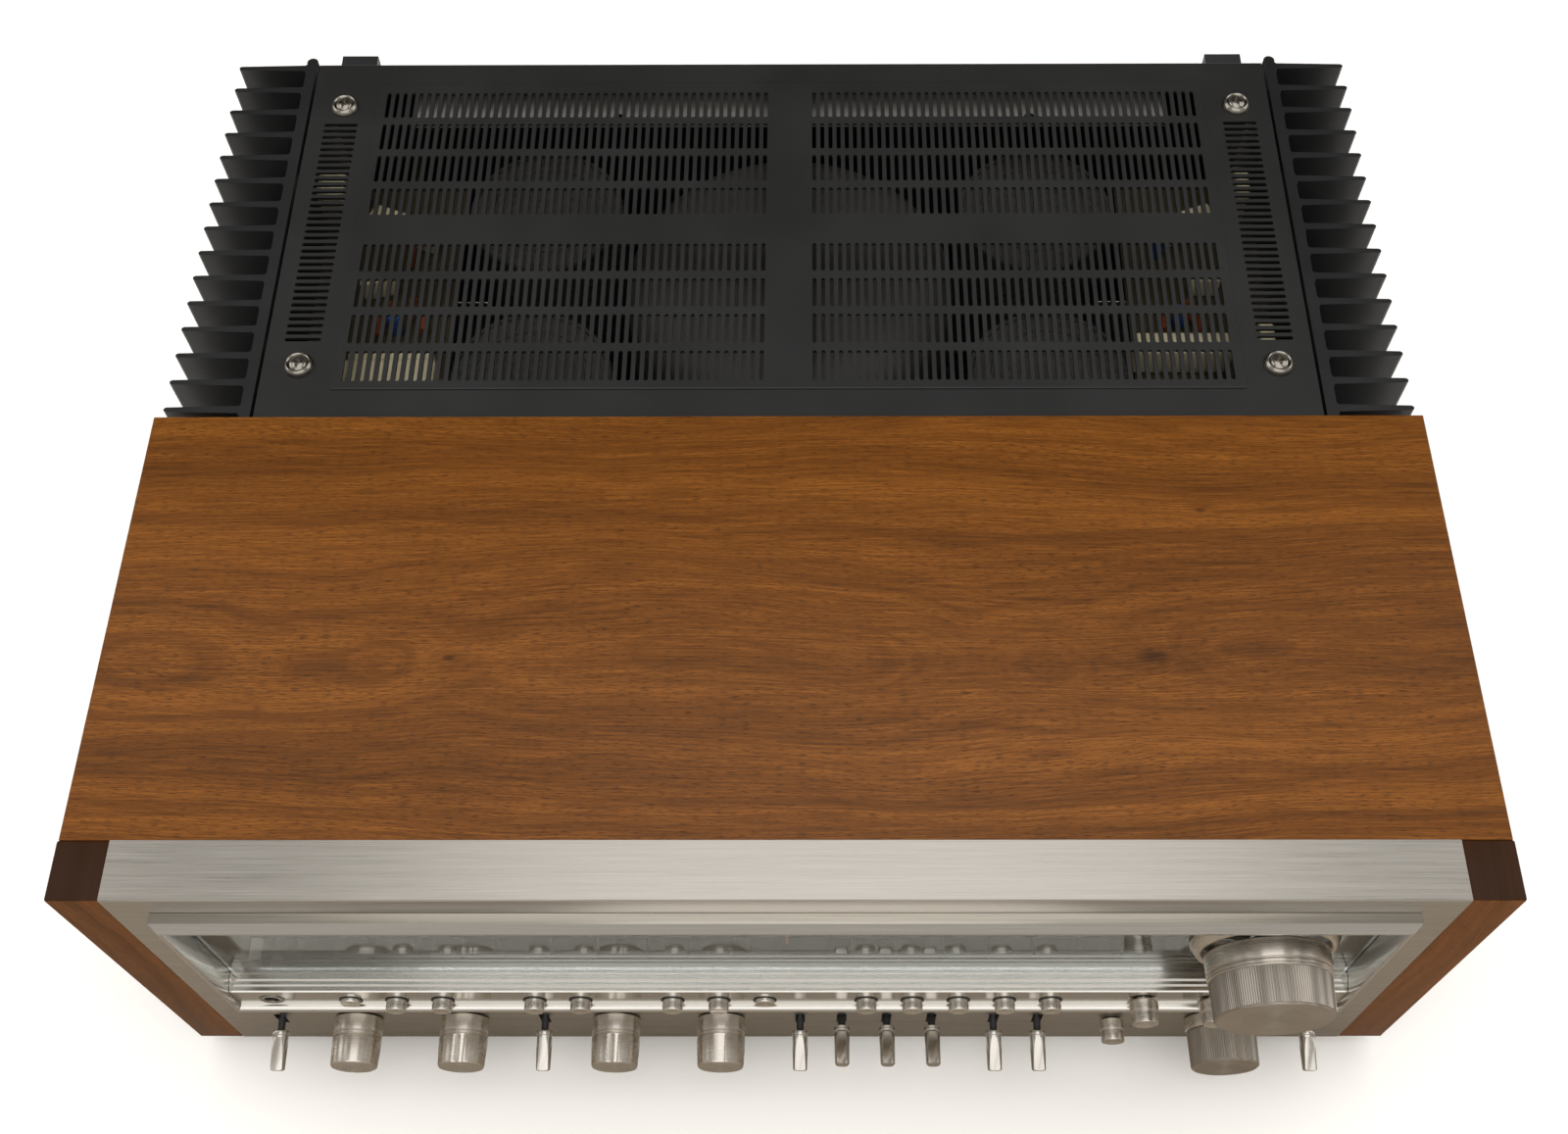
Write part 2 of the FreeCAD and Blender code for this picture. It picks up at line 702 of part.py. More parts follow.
def make_control_bodies():
    z = cell("control_z")
    parts = []
    for x in low_shafts:
        shell = box("pot_body", x - 13, x + 13, depth(sub_back), depth(38), z - 13, z + 13)
        bore = round_bar("pot_bore", shaft_radius + 0.3, sub_back - 1, 30, x, z)
        parts.append(cut("pot_part", shell, [bore]))
    high = cell("button_z")
    for x in small_high_x:
        shell = box("high_pot_body", x - 10, x + 10, depth(sub_back), depth(34), high - 10, high + 10)
        bore = round_bar("high_pot_bore", shaft_radius + 0.3, sub_back - 1, 28, x, high)
        parts.append(cut("high_pot_part", shell, [bore]))
    for x in button_x:
        shell = box("switch_body", x - 6, x + 6, depth(sub_back), depth(46), high - 6, high + 6)
        bore = round_bar("switch_bore", 2.8, sub_back - 1, 34, x, high)
        parts.append(cut("switch_part", shell, [bore]))
    for x in lever_x:
        shell = box("toggle_body", x - 6, x + 6, depth(4.4), depth(sub_front), z - 10, z + 10)
        hollow = box("toggle_hollow", x - 3, x + 3, depth(4), depth(11.4), z - 7, z + 7)
        pin_bore = doc.addObject("Part::Cylinder", "toggle_bore")
        pin_bore.Radius = 1.05
        pin_bore.Height = 14
        sideways = FreeCAD.Rotation(Vector(0, 1, 0), 90)
        place(pin_bore, x - 7, depth(lever_pivot), z, sideways)
        parts.append(cut("toggle_part", shell, [hollow, pin_bore]))
    keep(group("control_bodies", parts), "control_bodies")


def make_tuning_capacitor():
    # an open frame with the vanes' shaft in two bearings, and the cord drum in front
    x, z = 60, 100
    shell = box("capacitor_block", x - 26, x + 26, depth(70), depth(120), z - 28, z + 24)
    hollow = box("capacitor_hollow", x - 24, x + 24, depth(72), depth(118), z - 26, z + 30)
    bearings = round_bar("capacitor_bore", 3.05, 60, 130, x, z)
    foot = box("capacitor_foot", x - 20, x + 20, depth(75), depth(115), 31.8, z - 28)
    frame = fuse("capacitor_shell", [shell, foot])
    keep(cut("tuning_capacitor", frame, [hollow, bearings]), "tuning_capacitor")
    shaft = round_bar("vane_shaft", 3, 58, 121, x, z)
    drum = round_bar("drum", cord_drum_radius, 58, 64, x, z)
    parts = [shaft, drum]
    for index in range(9):
        start = 76 + index * 4
        vane = round_bar("vane", 19, start, start + 1, x, z)
        trim = box("vane_trim", x - 20, x + 20, depth(start - 1), depth(start + 2), z + 4, z + 20)
        parts.append(cut("vane_part", vane, [trim]))
    keep(fuse("capacitor_rotor", parts), "capacitor_rotor")


# ---- moving controls

lever_pivot = 8
cord_shaft_radius = 5
tuning_turn = 16.0
cord_drum_radius = cord_shaft_radius * tuning_turn / (math.pi / 2)


def make_buttons():
    radius = cell("button_half")
    out = cell("button_out")
    stem = 2.4
    for index, x in enumerate(button_x, start=1):
        pressed = latched_travel if x in latched_x else 0
        profile = [(0, -out), (radius - 0.8, -out), (radius - 0.25, 0.3 - out), (radius, 1 - out),
                   (radius, 3 - 0.5), (stem, 3 - 0.5), (stem, 24), (0, 24)]
        label = f"button_{index:02d}"
        keep(turned(label, profile, x, depth(pressed), cell("button_z")), label)


def make_levers():
    reach = 31
    for index, x in enumerate(lever_x, start=1):
        tilt = -lever_tilt if x in lever_up else lever_tilt
        label = f"lever_{index}"
        stick = [(0, -reach), (2.6, -reach), (3.3, 0.6 - reach), (3.6, 9 - reach), (3.6, -16.5),
                 (3.3, -16.2), (3.3, -15.5), (3.8, -15.2), (3.8, -13.2), (1.65, -12.8),
                 (1.65, -1.8), (2.4, -1), (2.4, 1.2), (1.6, 2.2), (0, 2.2)]
        body = new_body(f"{label}_body")
        sketch = outline(body, "XY_Plane", stick)
        lathe = body.newObject("PartDesign::Revolution", f"{label}_turn")
        lathe.Profile = sketch
        lathe.ReferenceAxis = (sketch, ["V_Axis"])
        lathe.Angle = 360
        turn = FreeCAD.Rotation(Vector(1, 0, 0), tilt)
        place(body, x, depth(lever_pivot), cell("control_z"), turn)
        pin = doc.addObject("Part::Cylinder", f"{label}_pin")
        pin.Radius = 1
        pin.Height = 10
        place(pin, x - 5, depth(lever_pivot), cell("control_z"), FreeCAD.Rotation(Vector(0, 1, 0), 90))
        keep(fuse(label, [body, pin]), label)


def knob_profile(skirt, body_low, body_high, out, back, shaft_end, collar=8):
    """Skirt, groove and tapered body of a knob, with the shaft that it turns."""
    return [(0, -out), (body_high - 0.6, 0.3 - out), (body_high, 1 - out), (body_low, -collar - 1.4),
            (body_low - 0.6, -collar - 1.1), (body_low - 0.6, -collar - 0.5), (skirt, -collar),
            (skirt, back), (shaft_radius, back), (shaft_radius, shaft_end), (0, shaft_end)]


def make_knobs():
    out = cell("knob_out")
    z = cell("control_z")
    tone = knob_profile(11.5, 11, 10.3, out, -0.6, 26)
    for index, x in enumerate(tone_x, start=1):
        label = f"tone_knob_{index}"
        keep(turned(label, tone, x, depth(0), z), label)
    small = knob_profile(5.8, 5.3, 5.2, sized(11), -0.6, 26, 5.2)
    keep(turned("small_knob_low", small, small_low_x, depth(0), z), "small_knob_low")
    high = knob_profile(6.4, 6, 5.9, sized(15.3), -5.1, 24, 10.2)
    for side, x in zip(("left", "right"), small_high_x):
        label = f"small_knob_{side}"
        keep(turned(label, high, x, depth(0), cell("button_z")), label)
    volume = knob_profile(16.2, 15.5, 15.1, out, -0.6, 26, 5)
    keep(turned("volume_knob", volume, volume_x, depth(0), z), "volume_knob")


def make_tuning():
    x, z = cell("tuning_x"), cell("tuning_z")
    out = cell("tuning_out")
    neck = 25.25
    knurl = 24.8
    cap = 24
    bore = 3
    profile = [(bore, -20), (bore, -2), (neck - 1.2, -2), (neck, -3), (neck, -9.5), (neck - 1, -9.9),
               (neck - 1, -10.6), (neck, -11), (neck, -12), (neck - 1, -12.4), (neck - 1, -13.1),
               (knurl, -13.5), (cap, 0.8 - out), (cap - 0.8, 0.0 - out), (18, -out), (0, 1.2 - out),
               (0, -20)]
    keep(turned("tuning_knob", profile, x, depth(0), z), "tuning_knob")
    shaft = [(0, -20), (bore, -20), (bore, 26), (cord_shaft_radius, 26), (cord_shaft_radius, 31),
             (28, 31), (28, 47), (bore, 47), (bore, 66), (0, 66)]
    keep(turned("tuning_shaft", shaft, x, depth(0), z), "tuning_shaft")


def make_pointer():
    # rides on the top edge of the scale plate
    needle = box("needle", -0.6, 0.6, depth(15), depth(16.4), 116, 190)
    hook = box("hook", -5, 5, depth(15), depth(25), 187.5, 190)
    back = box("hook_back", -5, 5, depth(22.2), depth(25), 176, 190)
    keep(fuse("dial_pointer", [needle, hook, back]), "dial_pointer")


def make_all():
    make_wood()
    make_faceplate()
    make_frame()
    make_glass()
    make_button_panel()
    make_jack()
    make_chassis()
    make_rear_panel()
    make_rear_terminals()
    make_gland()
    make_standoffs()
    make_feet()
    make_cover()
    make_cover_screws()
    make_heatsinks()
    make_transformer()
    make_boards()
    make_transistors()
    make_control_bodies()
    make_tuning_capacitor()
    make_buttons()
    make_levers()
    make_knobs()
    make_tuning()
    make_pointer()


def check_and_write():
    doc.recompute()
    for thing in doc.Objects:
        if "Invalid" in thing.State or "Error" in thing.State:
            raise RuntimeError(f"{thing.Name} failed: {thing.State}")
    for thing in nodes:
        if thing.Shape.isNull() or not thing.Shape.isValid():
            raise RuntimeError(f"{thing.Label} has a bad shape")
        if not thing.Shape.Solids:
            raise RuntimeError(f"{thing.Label} has no solid")
    os.makedirs("parts", exist_ok=True)
    for thing in nodes:
        thing.Shape.exportStep(f"parts/{thing.Label}.step")
    print(len(nodes), "sub-parts written")


make_all()
check_and_write()
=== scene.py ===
import bpy
import json
import math
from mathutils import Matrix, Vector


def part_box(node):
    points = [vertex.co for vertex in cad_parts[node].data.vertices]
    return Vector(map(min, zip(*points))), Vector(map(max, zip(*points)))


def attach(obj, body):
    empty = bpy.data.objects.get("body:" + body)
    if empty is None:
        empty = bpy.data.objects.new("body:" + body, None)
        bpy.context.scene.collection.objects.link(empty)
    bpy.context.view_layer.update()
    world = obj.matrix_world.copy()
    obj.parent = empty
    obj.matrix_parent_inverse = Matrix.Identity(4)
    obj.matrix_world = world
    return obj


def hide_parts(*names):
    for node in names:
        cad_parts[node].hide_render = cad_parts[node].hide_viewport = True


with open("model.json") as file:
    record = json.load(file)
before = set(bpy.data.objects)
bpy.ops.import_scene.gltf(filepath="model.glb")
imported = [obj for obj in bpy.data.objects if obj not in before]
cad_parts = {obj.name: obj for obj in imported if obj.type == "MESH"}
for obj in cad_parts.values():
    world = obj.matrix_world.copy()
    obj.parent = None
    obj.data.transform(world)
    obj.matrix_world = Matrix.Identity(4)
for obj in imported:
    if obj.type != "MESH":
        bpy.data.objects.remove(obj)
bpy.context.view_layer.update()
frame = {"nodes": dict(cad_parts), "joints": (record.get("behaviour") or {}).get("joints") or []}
nodes = frame["nodes"]
mm = 0.001
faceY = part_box("faceplate")[0].y      # front of the faceplate
print("frame loaded,", len(nodes), "sub-parts")


# small helpers

def linearColour(hexText):
    # sRGB hex to the linear colour that a shader socket takes
    parts = [int(hexText[i:i + 2], 16) / 255 for i in (1, 3, 5)]
    return tuple(p / 12.92 if p < 0.04045 else ((p + 0.055) / 1.055) ** 2.4 for p in parts) + (1,)


def addNode(tree, kind, settings=None, links=None):
    # a shader node with its settings and what feeds it
    node = tree.nodes.new(kind)
    for key, value in (settings or {}).items():
        if isinstance(key, int) or key in node.inputs:
            node.inputs[key].default_value = value
        else:
            setattr(node, key, value)
    for key, source in (links or {}).items():
        tree.links.new(source, node.inputs[key])
    return node


def newMaterial(name, surface):
    material = bpy.data.materials.new(name)
    material.use_nodes = True
    shader = material.node_tree.nodes["Principled BSDF"]
    for key, value in surface.items():
        shader.inputs[key].default_value = value
    return material, material.node_tree, shader


def colourRamp(tree, source, stops):
    ramp = addNode(tree, "ShaderNodeValToRGB", links={"Fac": source})
    elements = ramp.color_ramp.elements
    while len(elements) < len(stops):
        elements.new(0.5)
    for element, (position, hexText) in zip(elements, stops):
        element.position = position
        element.color = linearColour(hexText)
    return ramp.outputs["Color"]


def deselectAll():
    bpy.ops.object.select_all(action="DESELECT")


def makeActive(piece):
    deselectAll()
    piece.select_set(True)
    bpy.context.view_layer.objects.active = piece


def applyModifier(piece, kind, settings):
    makeActive(piece)
    modifier = piece.modifiers.new(kind.lower(), kind)
    for key, value in settings.items():
        setattr(modifier, key, value)
    bpy.ops.object.modifier_apply(modifier=modifier.name)


def roundEdges(piece, width, segments=2, angle=30):
    applyModifier(piece, "BEVEL", {"width": width * mm, "segments": segments, "limit_method": "ANGLE",
                                   "angle_limit": math.radians(angle), "harden_normals": False})


def smoothPiece(piece, angle=35):
    makeActive(piece)
    bpy.ops.object.shade_smooth_by_angle(angle=math.radians(angle))


def finishPiece(piece, body, slotName, material, *replaced):
    piece.data.materials.clear()
    piece.data.materials.append(material)
    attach(piece, body)
    if replaced:
        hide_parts(*replaced)
    return piece


def addBlock(name, low, high):
    # a block between two corners, in metres
    deselectAll()
    middle = [(a + b) / 2 for a, b in zip(low, high)]
    span = [b - a for a, b in zip(low, high)]
    bpy.ops.mesh.primitive_cube_add(size=1, location=middle, scale=span)
    piece = bpy.context.object
    piece.name = name
    bpy.ops.object.transform_apply(location=True, rotation=True, scale=True)
    return piece


def selectWhere(piece, test, kind="VERT"):
    # leaves edit mode open with the chosen verts, edges or faces selected
    makeActive(piece)
    bpy.ops.object.mode_set(mode="EDIT")
    bpy.ops.mesh.select_mode(type=kind)
    bpy.ops.mesh.select_all(action="DESELECT")
    bpy.ops.object.mode_set(mode="OBJECT")
    mesh = piece.data
    group = {"VERT": mesh.vertices, "EDGE": mesh.edges, "FACE": mesh.polygons}[kind]
    for item in group:
        if kind == "VERT":
            item.select = test(item.co)
        elif kind == "EDGE":
            first, second = (mesh.vertices[i].co for i in item.vertices)
            item.select = test(first) and test(second)
        else:
            item.select = test(item.center)
    bpy.ops.object.mode_set(mode="EDIT")


def turnPiece(name, centre, rings, sides=64, axis="Y"):
    # turned about an axis through centre, from (radius, distance along the axis) in millimetres
    along = {"Y": (0, 1, 0), "Z": (0, 0, 1)}[axis]
    tilt = {"Y": (math.pi / 2, 0, 0), "Z": (0, 0, 0)}[axis]
    radius, reach = rings[0]
    spot = [c + a * reach * mm for c, a in zip(centre, along)]
    deselectAll()
    bpy.ops.mesh.primitive_circle_add(vertices=sides, radius=radius * mm, fill_type="NGON",
                                      location=spot, rotation=tilt)
    piece = bpy.context.object
    piece.name = name
    bpy.ops.object.transform_apply(location=True, rotation=True, scale=True)
    bpy.ops.object.mode_set(mode="EDIT")
    bpy.ops.mesh.select_mode(type="FACE")
    bpy.ops.mesh.select_all(action="SELECT")
    for nextRadius, nextReach in rings[1:]:
        step = [a * (nextReach - reach) * mm for a in along]
        bpy.ops.mesh.extrude_region_move(TRANSFORM_OT_translate={"value": step})
        grow = nextRadius / radius
        scale = [1 if a else grow for a in along]
        spot = [c + a * nextReach * mm for c, a in zip(centre, along)]
        bpy.ops.transform.resize(value=scale, center_override=spot)
        radius, reach = nextRadius, nextReach
    bpy.ops.mesh.select_all(action="SELECT")
    bpy.ops.mesh.normals_make_consistent(inside=False)
    bpy.ops.object.mode_set(mode="OBJECT")
    return piece


def markRadius(piece, centre, axis="Y"):
    # stores each point's distance from the turning axis, for lathe marks
    store = piece.data.attributes.new("latheRadius", "FLOAT", "POINT")
    for point, value in zip(piece.data.vertices, store.data):
        sideways = point.co.z - centre[2] if axis == "Y" else point.co.y - centre[1]
        value.value = math.hypot(point.co.x - centre[0], sideways)


def cutTeeth(piece, centre, low, high, sides, depthOfCut):
    # straight knurling: every other line of points moves in towards the axis
    def isValley(co):
        behind = (co.y - centre[1]) / mm
        turn = math.atan2(co.z - centre[2], co.x - centre[0]) / (2 * math.pi / sides)
        return low <= behind <= high and round(turn) % 2 == 1
    selectWhere(piece, isValley)
    reach = max(math.hypot(p.co.x - centre[0], p.co.z - centre[2]) for p in piece.data.vertices)
    shrink = 1 - depthOfCut * mm / reach
    bpy.ops.transform.resize(value=(shrink, 1, shrink), center_override=centre)
    bpy.ops.object.mode_set(mode="OBJECT")


def copyPiece(piece, name, shift):
    # a copy with its own mesh, moved by shift metres
    makeActive(piece)
    bpy.ops.object.duplicate(linked=False)
    twin = bpy.context.object
    twin.name = name
    twin.parent = None
    bpy.ops.transform.translate(value=shift)
    bpy.ops.object.transform_apply(location=True, rotation=True, scale=True)
    return twin


# materials

walnut = {"ring": 5.5, "light": "#7e4c19", "middle": "#643a11", "dark": "#49290b", "pore": "#241307"}


def stretched(tree, source, scale, detail, rough):
    # noise on a vector of millimetres, scaled differently along each axis
    vector = addNode(tree, "ShaderNodeVectorMath", {"operation": "MULTIPLY", 1: scale}, {0: source})
    return addNode(tree, "ShaderNodeTexNoise", {"Scale": 1, "Detail": detail, "Roughness": rough},
                   {"Vector": vector.outputs[0]}).outputs["Fac"]


def calc(tree, operation, first, second=0, third=0):
    # arithmetic on sockets or plain numbers
    links = {}
    settings = {"operation": operation}
    for index, value in enumerate((first, second, third)):
        (settings if isinstance(value, (int, float)) else links)[index] = value
    return addNode(tree, "ShaderNodeMath", settings, links).outputs[0]


def makeWalnut(name, along, across, look, heart, knots=(), endGrain=None):
    # American walnut veneer, flat-sawn and waxed: straight fibre, faint arches, short dark pores
    material, tree, shader = newMaterial(name, {"IOR": 1.5, "Specular IOR Level": 0.14})
    place = addNode(tree, "ShaderNodeTexCoord").outputs["Object"]
    split = addNode(tree, "ShaderNodeSeparateXYZ", links={0: place})
    run = calc(tree, "MULTIPLY", split.outputs[along], 1000)
    side = calc(tree, "MULTIPLY", split.outputs[across], 1000)
    flat = addNode(tree, "ShaderNodeCombineXYZ", {2: heart * 0.1}, {0: run, 1: side}).outputs[0]
    # the heart line wanders a few millimetres, and its depth opens and closes the arches
    wander = calc(tree, "MULTIPLY_ADD", stretched(tree, flat, (0.0045, 0.012, 1), 2, 0.4), 34, -17 - heart)
    sideways = calc(tree, "ADD", side, wander)
    swell = calc(tree, "MULTIPLY_ADD", stretched(tree, flat, (0.0105, 0.004, 1), 1.5, 0.5), 70, -18)
    distance = calc(tree, "SQRT", calc(tree, "ADD", calc(tree, "POWER", swell, 2),
                                       calc(tree, "POWER", sideways, 2)))
    core = 0
    for knotRun, knotSide, size in knots:
        far = calc(tree, "MULTIPLY_ADD", run, 0.45 / size, -knotRun * 0.45 / size)
        wide = calc(tree, "MULTIPLY_ADD", side, 1 / size, -knotSide / size)
        both = calc(tree, "ADD", calc(tree, "POWER", far, 2), calc(tree, "POWER", wide, 2))
        hill = calc(tree, "POWER", math.e, calc(tree, "MULTIPLY", both, -1))
        distance = calc(tree, "MULTIPLY_ADD", hill, size * 1.5, distance)
        core = calc(tree, "MAXIMUM", core, hill)
    # growth rings some 5 mm apart, uneven in width and strength
    rings = addNode(tree, "ShaderNodeCombineXYZ", {}, {0: distance, 1: run}).outputs[0]
    band = stretched(tree, rings, (1 / look["ring"], 0.0018, 0), 5, 0.6)
    # broad light and dark stripes, 20 to 40 mm wide
    grain = addNode(tree, "ShaderNodeCombineXYZ", {2: 7}, {0: run, 1: sideways}).outputs[0]
    stripe = stretched(tree, grain, (0.0022, 0.045, 1), 3, 0.55)
    # fibres, about 0.7 mm apart and 30 mm long
    fibre = stretched(tree, grain, (0.035, 1.3, 1), 6, 0.68)
    tone = calc(tree, "MULTIPLY", band, 0.3)
    tone = calc(tree, "MULTIPLY_ADD", stripe, 0.26, tone)
    tone = calc(tree, "MULTIPLY_ADD", fibre, 0.44, tone)
    colour = colourRamp(tree, tone, [(0.4, look["dark"]), (0.5, look["middle"]), (0.6, look["light"])])
    # pores: dark dashes some 0.3 mm wide and 4 mm long, thicker in some rings than in others
    pore = stretched(tree, grain, (0.22, 2.6, 1), 2, 0.5)
    crowd = calc(tree, "MULTIPLY_ADD", band, 0.25, -0.125)
    mask = addNode(tree, "ShaderNodeMapRange", {"From Min": 0.54, "From Max": 0.68, "To Max": 0.62},
                   {"Value": calc(tree, "ADD", pore, crowd)}).outputs[0]
    colour = addNode(tree, "ShaderNodeMix", {"data_type": "RGBA", 7: linearColour(look["pore"])},
                     {0: mask, 6: colour}).outputs[2]
    if knots:
        spot = addNode(tree, "ShaderNodeMapRange", {"From Min": 0.88, "From Max": 1, "To Max": 0.6},
                       {"Value": core}).outputs[0]
        colour = addNode(tree, "ShaderNodeMix", {"data_type": "RGBA", 7: linearColour(look["pore"])},
                         {0: spot, 6: colour}).outputs[2]
    if endGrain:
        # the sawn end soaks up the wax and is darker
        level, hexText = endGrain
        top = addNode(tree, "ShaderNodeMapRange", {"From Min": level - 0.0002, "From Max": level,
                                                   "To Max": 0.92}, {"Value": split.outputs[2]}).outputs[0]
        colour = addNode(tree, "ShaderNodeMix", {"data_type": "RGBA", 7: linearColour(hexText)},
                         {0: top, 6: colour}).outputs[2]
    tree.links.new(colour, shader.inputs["Base Color"])
    gloss = addNode(tree, "ShaderNodeMapRange", {"To Min": 0.38, "To Max": 0.56}, {"Value": fibre})
    tree.links.new(gloss.outputs[0], shader.inputs["Roughness"])
    bump = addNode(tree, "ShaderNodeBump", {"Strength": 0.3, "Distance": 0.00006, "invert": True},
                   {"Height": mask})
    tree.links.new(bump.outputs[0], shader.inputs["Normal"])
    return material


def makeBrushed(name, look):
    # aluminium drawn under a belt, then clear anodised: fine straight lines along X, drawn 0.3 mm apart so
    # that they show, which stretch a reflection up and down
    material, tree, shader = newMaterial(name, {"Metallic": 1})
    place = addNode(tree, "ShaderNodeTexCoord").outputs["Object"]
    fine = addNode(tree, "ShaderNodeVectorMath", {"operation": "MULTIPLY", 1: look["lines"]}, {0: place})
    fine = addNode(tree, "ShaderNodeTexNoise", {"Scale": 1, "Detail": 6, "Roughness": 0.7},
                   {"Vector": fine.outputs[0]})
    broad = addNode(tree, "ShaderNodeVectorMath", {"operation": "MULTIPLY",
                                                   1: [v * 0.12 for v in look["lines"]]}, {0: place})
    broad = addNode(tree, "ShaderNodeTexNoise", {"Scale": 1, "Detail": 3, "Roughness": 0.6},
                    {"Vector": broad.outputs[0]})
    both = calc(tree, "MULTIPLY", broad.outputs["Fac"], 0.22)
    both = addNode(tree, "ShaderNodeMath", {"operation": "MULTIPLY_ADD", 1: 0.78},
                   {0: fine.outputs["Fac"], 2: both})
    colour = colourRamp(tree, both.outputs[0], [(0.36, look["dark"]), (0.64, look["light"])])
    tree.links.new(colour, shader.inputs["Base Color"])
    gloss = addNode(tree, "ShaderNodeMapRange", {"From Min": 0.3, "From Max": 0.7,
                                                 "To Min": look["smooth"], "To Max": look["rough"]},
                    {"Value": both.outputs[0]})
    tree.links.new(gloss.outputs[0], shader.inputs["Roughness"])
    bump = addNode(tree, "ShaderNodeBump", {"Strength": look["bump"], "Distance": 0.00002},
                   {"Height": fine.outputs["Fac"]})
    tree.links.new(bump.outputs[0], shader.inputs["Normal"])
    return material


def makeTurned(name, look):
    # aluminium turned on a lathe: fine rings about the axis, which draw a reflection out across them
    material, tree, shader = newMaterial(name, {"Metallic": 1, "Base Color": linearColour(look["colour"]),
                                                "Anisotropic": 0.85, "Anisotropic Rotation": 0.25})
    turning = addNode(tree, "ShaderNodeTangent", {"direction_type": "RADIAL", "axis": "Y"})
    tree.links.new(turning.outputs[0], shader.inputs["Tangent"])
    place = addNode(tree, "ShaderNodeTexCoord").outputs["Object"]
    split = addNode(tree, "ShaderNodeSeparateXYZ", links={0: place})
    radius = addNode(tree, "ShaderNodeAttribute", {"attribute_name": "latheRadius"})
    marks = addNode(tree, "ShaderNodeCombineXYZ", {}, {0: radius.outputs["Fac"], 1: split.outputs[1]})
    # drawn 0.3 mm apart, coarser than the real feed, so that they show
    marks = addNode(tree, "ShaderNodeVectorMath", {"operation": "SCALE", "Scale": 3300},
                    {0: marks.outputs[0]})
    marks = addNode(tree, "ShaderNodeTexNoise", {"Scale": 1, "Detail": 3, "Roughness": 0.6},
                    {"Vector": marks.outputs[0]})
    gloss = addNode(tree, "ShaderNodeMapRange", {"From Min": 0.3, "From Max": 0.7,
                                                 "To Min": look["smooth"], "To Max": look["rough"]},
                    {"Value": marks.outputs["Fac"]})
    tree.links.new(gloss.outputs[0], shader.inputs["Roughness"])
    bump = addNode(tree, "ShaderNodeBump", {"Strength": look["bump"], "Distance": 0.00002},
                   {"Height": marks.outputs["Fac"]})
    tree.links.new(bump.outputs[0], shader.inputs["Normal"])
    return material


def makePlain(name, look):
    # a moulded, painted or plated surface: slight mottling of tone and gloss at a real grain size
    metallic, dark, light, grainSize, smooth, rough, bumpStrength = look
    material, tree, shader = newMaterial(name, {"Metallic": metallic, "IOR": 1.5})
    place = addNode(tree, "ShaderNodeTexCoord").outputs["Object"]
    grain = addNode(tree, "ShaderNodeTexNoise", {"Scale": 1000 / grainSize, "Detail": 3, "Roughness": 0.6},
                    {"Vector": place}).outputs["Fac"]
    cloud = addNode(tree, "ShaderNodeTexNoise", {"Scale": 18, "Detail": 4, "Roughness": 0.6},
                    {"Vector": place}).outputs["Fac"]
    tree.links.new(colourRamp(tree, cloud, [(0.35, dark), (0.65, light)]), shader.inputs["Base Color"])
    gloss = addNode(tree, "ShaderNodeMapRange",
                    {"From Min": 0.7, "From Max": 1.3, "To Min": smooth, "To Max": rough},
                    {"Value": calc(tree, "ADD", grain, cloud)})
    tree.links.new(gloss.outputs[0], shader.inputs["Roughness"])
    bump = addNode(tree, "ShaderNodeBump", {"Strength": bumpStrength, "Distance": grainSize * 0.0001},
                   {"Height": grain})
    tree.links.new(bump.outputs[0], shader.inputs["Normal"])
    return material


topVeneer = makeWalnut("walnutTopVeneer", 0, 1, walnut, -115,
                       knots=((-137, -116, 4), (72, -132, 3), (176, -46, 3.5), (150, -116, 11)))
sideVeneer = makeWalnut("walnutSideVeneer", 1, 2, walnut, 150)
# solid walnut posts, planed and oiled: closer rings than the veneer, and a dark sawn end on top
postLook = {"ring": 5, "light": "#7c4a1b", "middle": "#683d15", "dark": "#4f2e0e", "pore": "#2c1808"}
postWood = makeWalnut("walnutPostWood", 2, 0, postLook, 0,
                      endGrain=(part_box("wood_top")[1].z - 0.0003, "#241206"))
# the faceplate: coarse belt lines that catch the light as long pale and dark streaks
faceMetal = makeBrushed("brushedAluminiumFace", {"lines": (22, 3600, 3600), "dark": "#b3aea6",
                                                 "light": "#d3cec6", "smooth": 0.24, "rough": 0.36,
                                                 "bump": 0.14})
# the extruded trim, buffed after brushing: nearly a mirror, with only a trace of lines
trimMetal = makeBrushed("polishedAluminiumTrim", {"lines": (16, 3000, 3000), "dark": "#cbc7c0",
                                                  "light": "#dddad4", "smooth": 0.1, "rough": 0.2,
                                                  "bump": 0.03})
# knob bodies, finely turned: crisp light and dark bands that run out along the knob
knobMetal = makeTurned("turnedAluminiumKnob", {"colour": "#ddd6cc", "smooth": 0.24, "rough": 0.32,
                                               "bump": 0.3})
# knurled grips: the teeth break up the bands and leave a soft grey
gripMetal = makeTurned("knurledAluminiumGrip", {"colour": "#b9b1a7", "smooth": 0.3, "rough": 0.42,
                                                "bump": 0.3})
# knob faces, turned with a coarse feed: a dull face with a faint fan of light
capMetal = makeTurned("spunAluminiumCap", {"colour": "#bcb3a8", "smooth": 0.26, "rough": 0.36,
                                           "bump": 1.0})
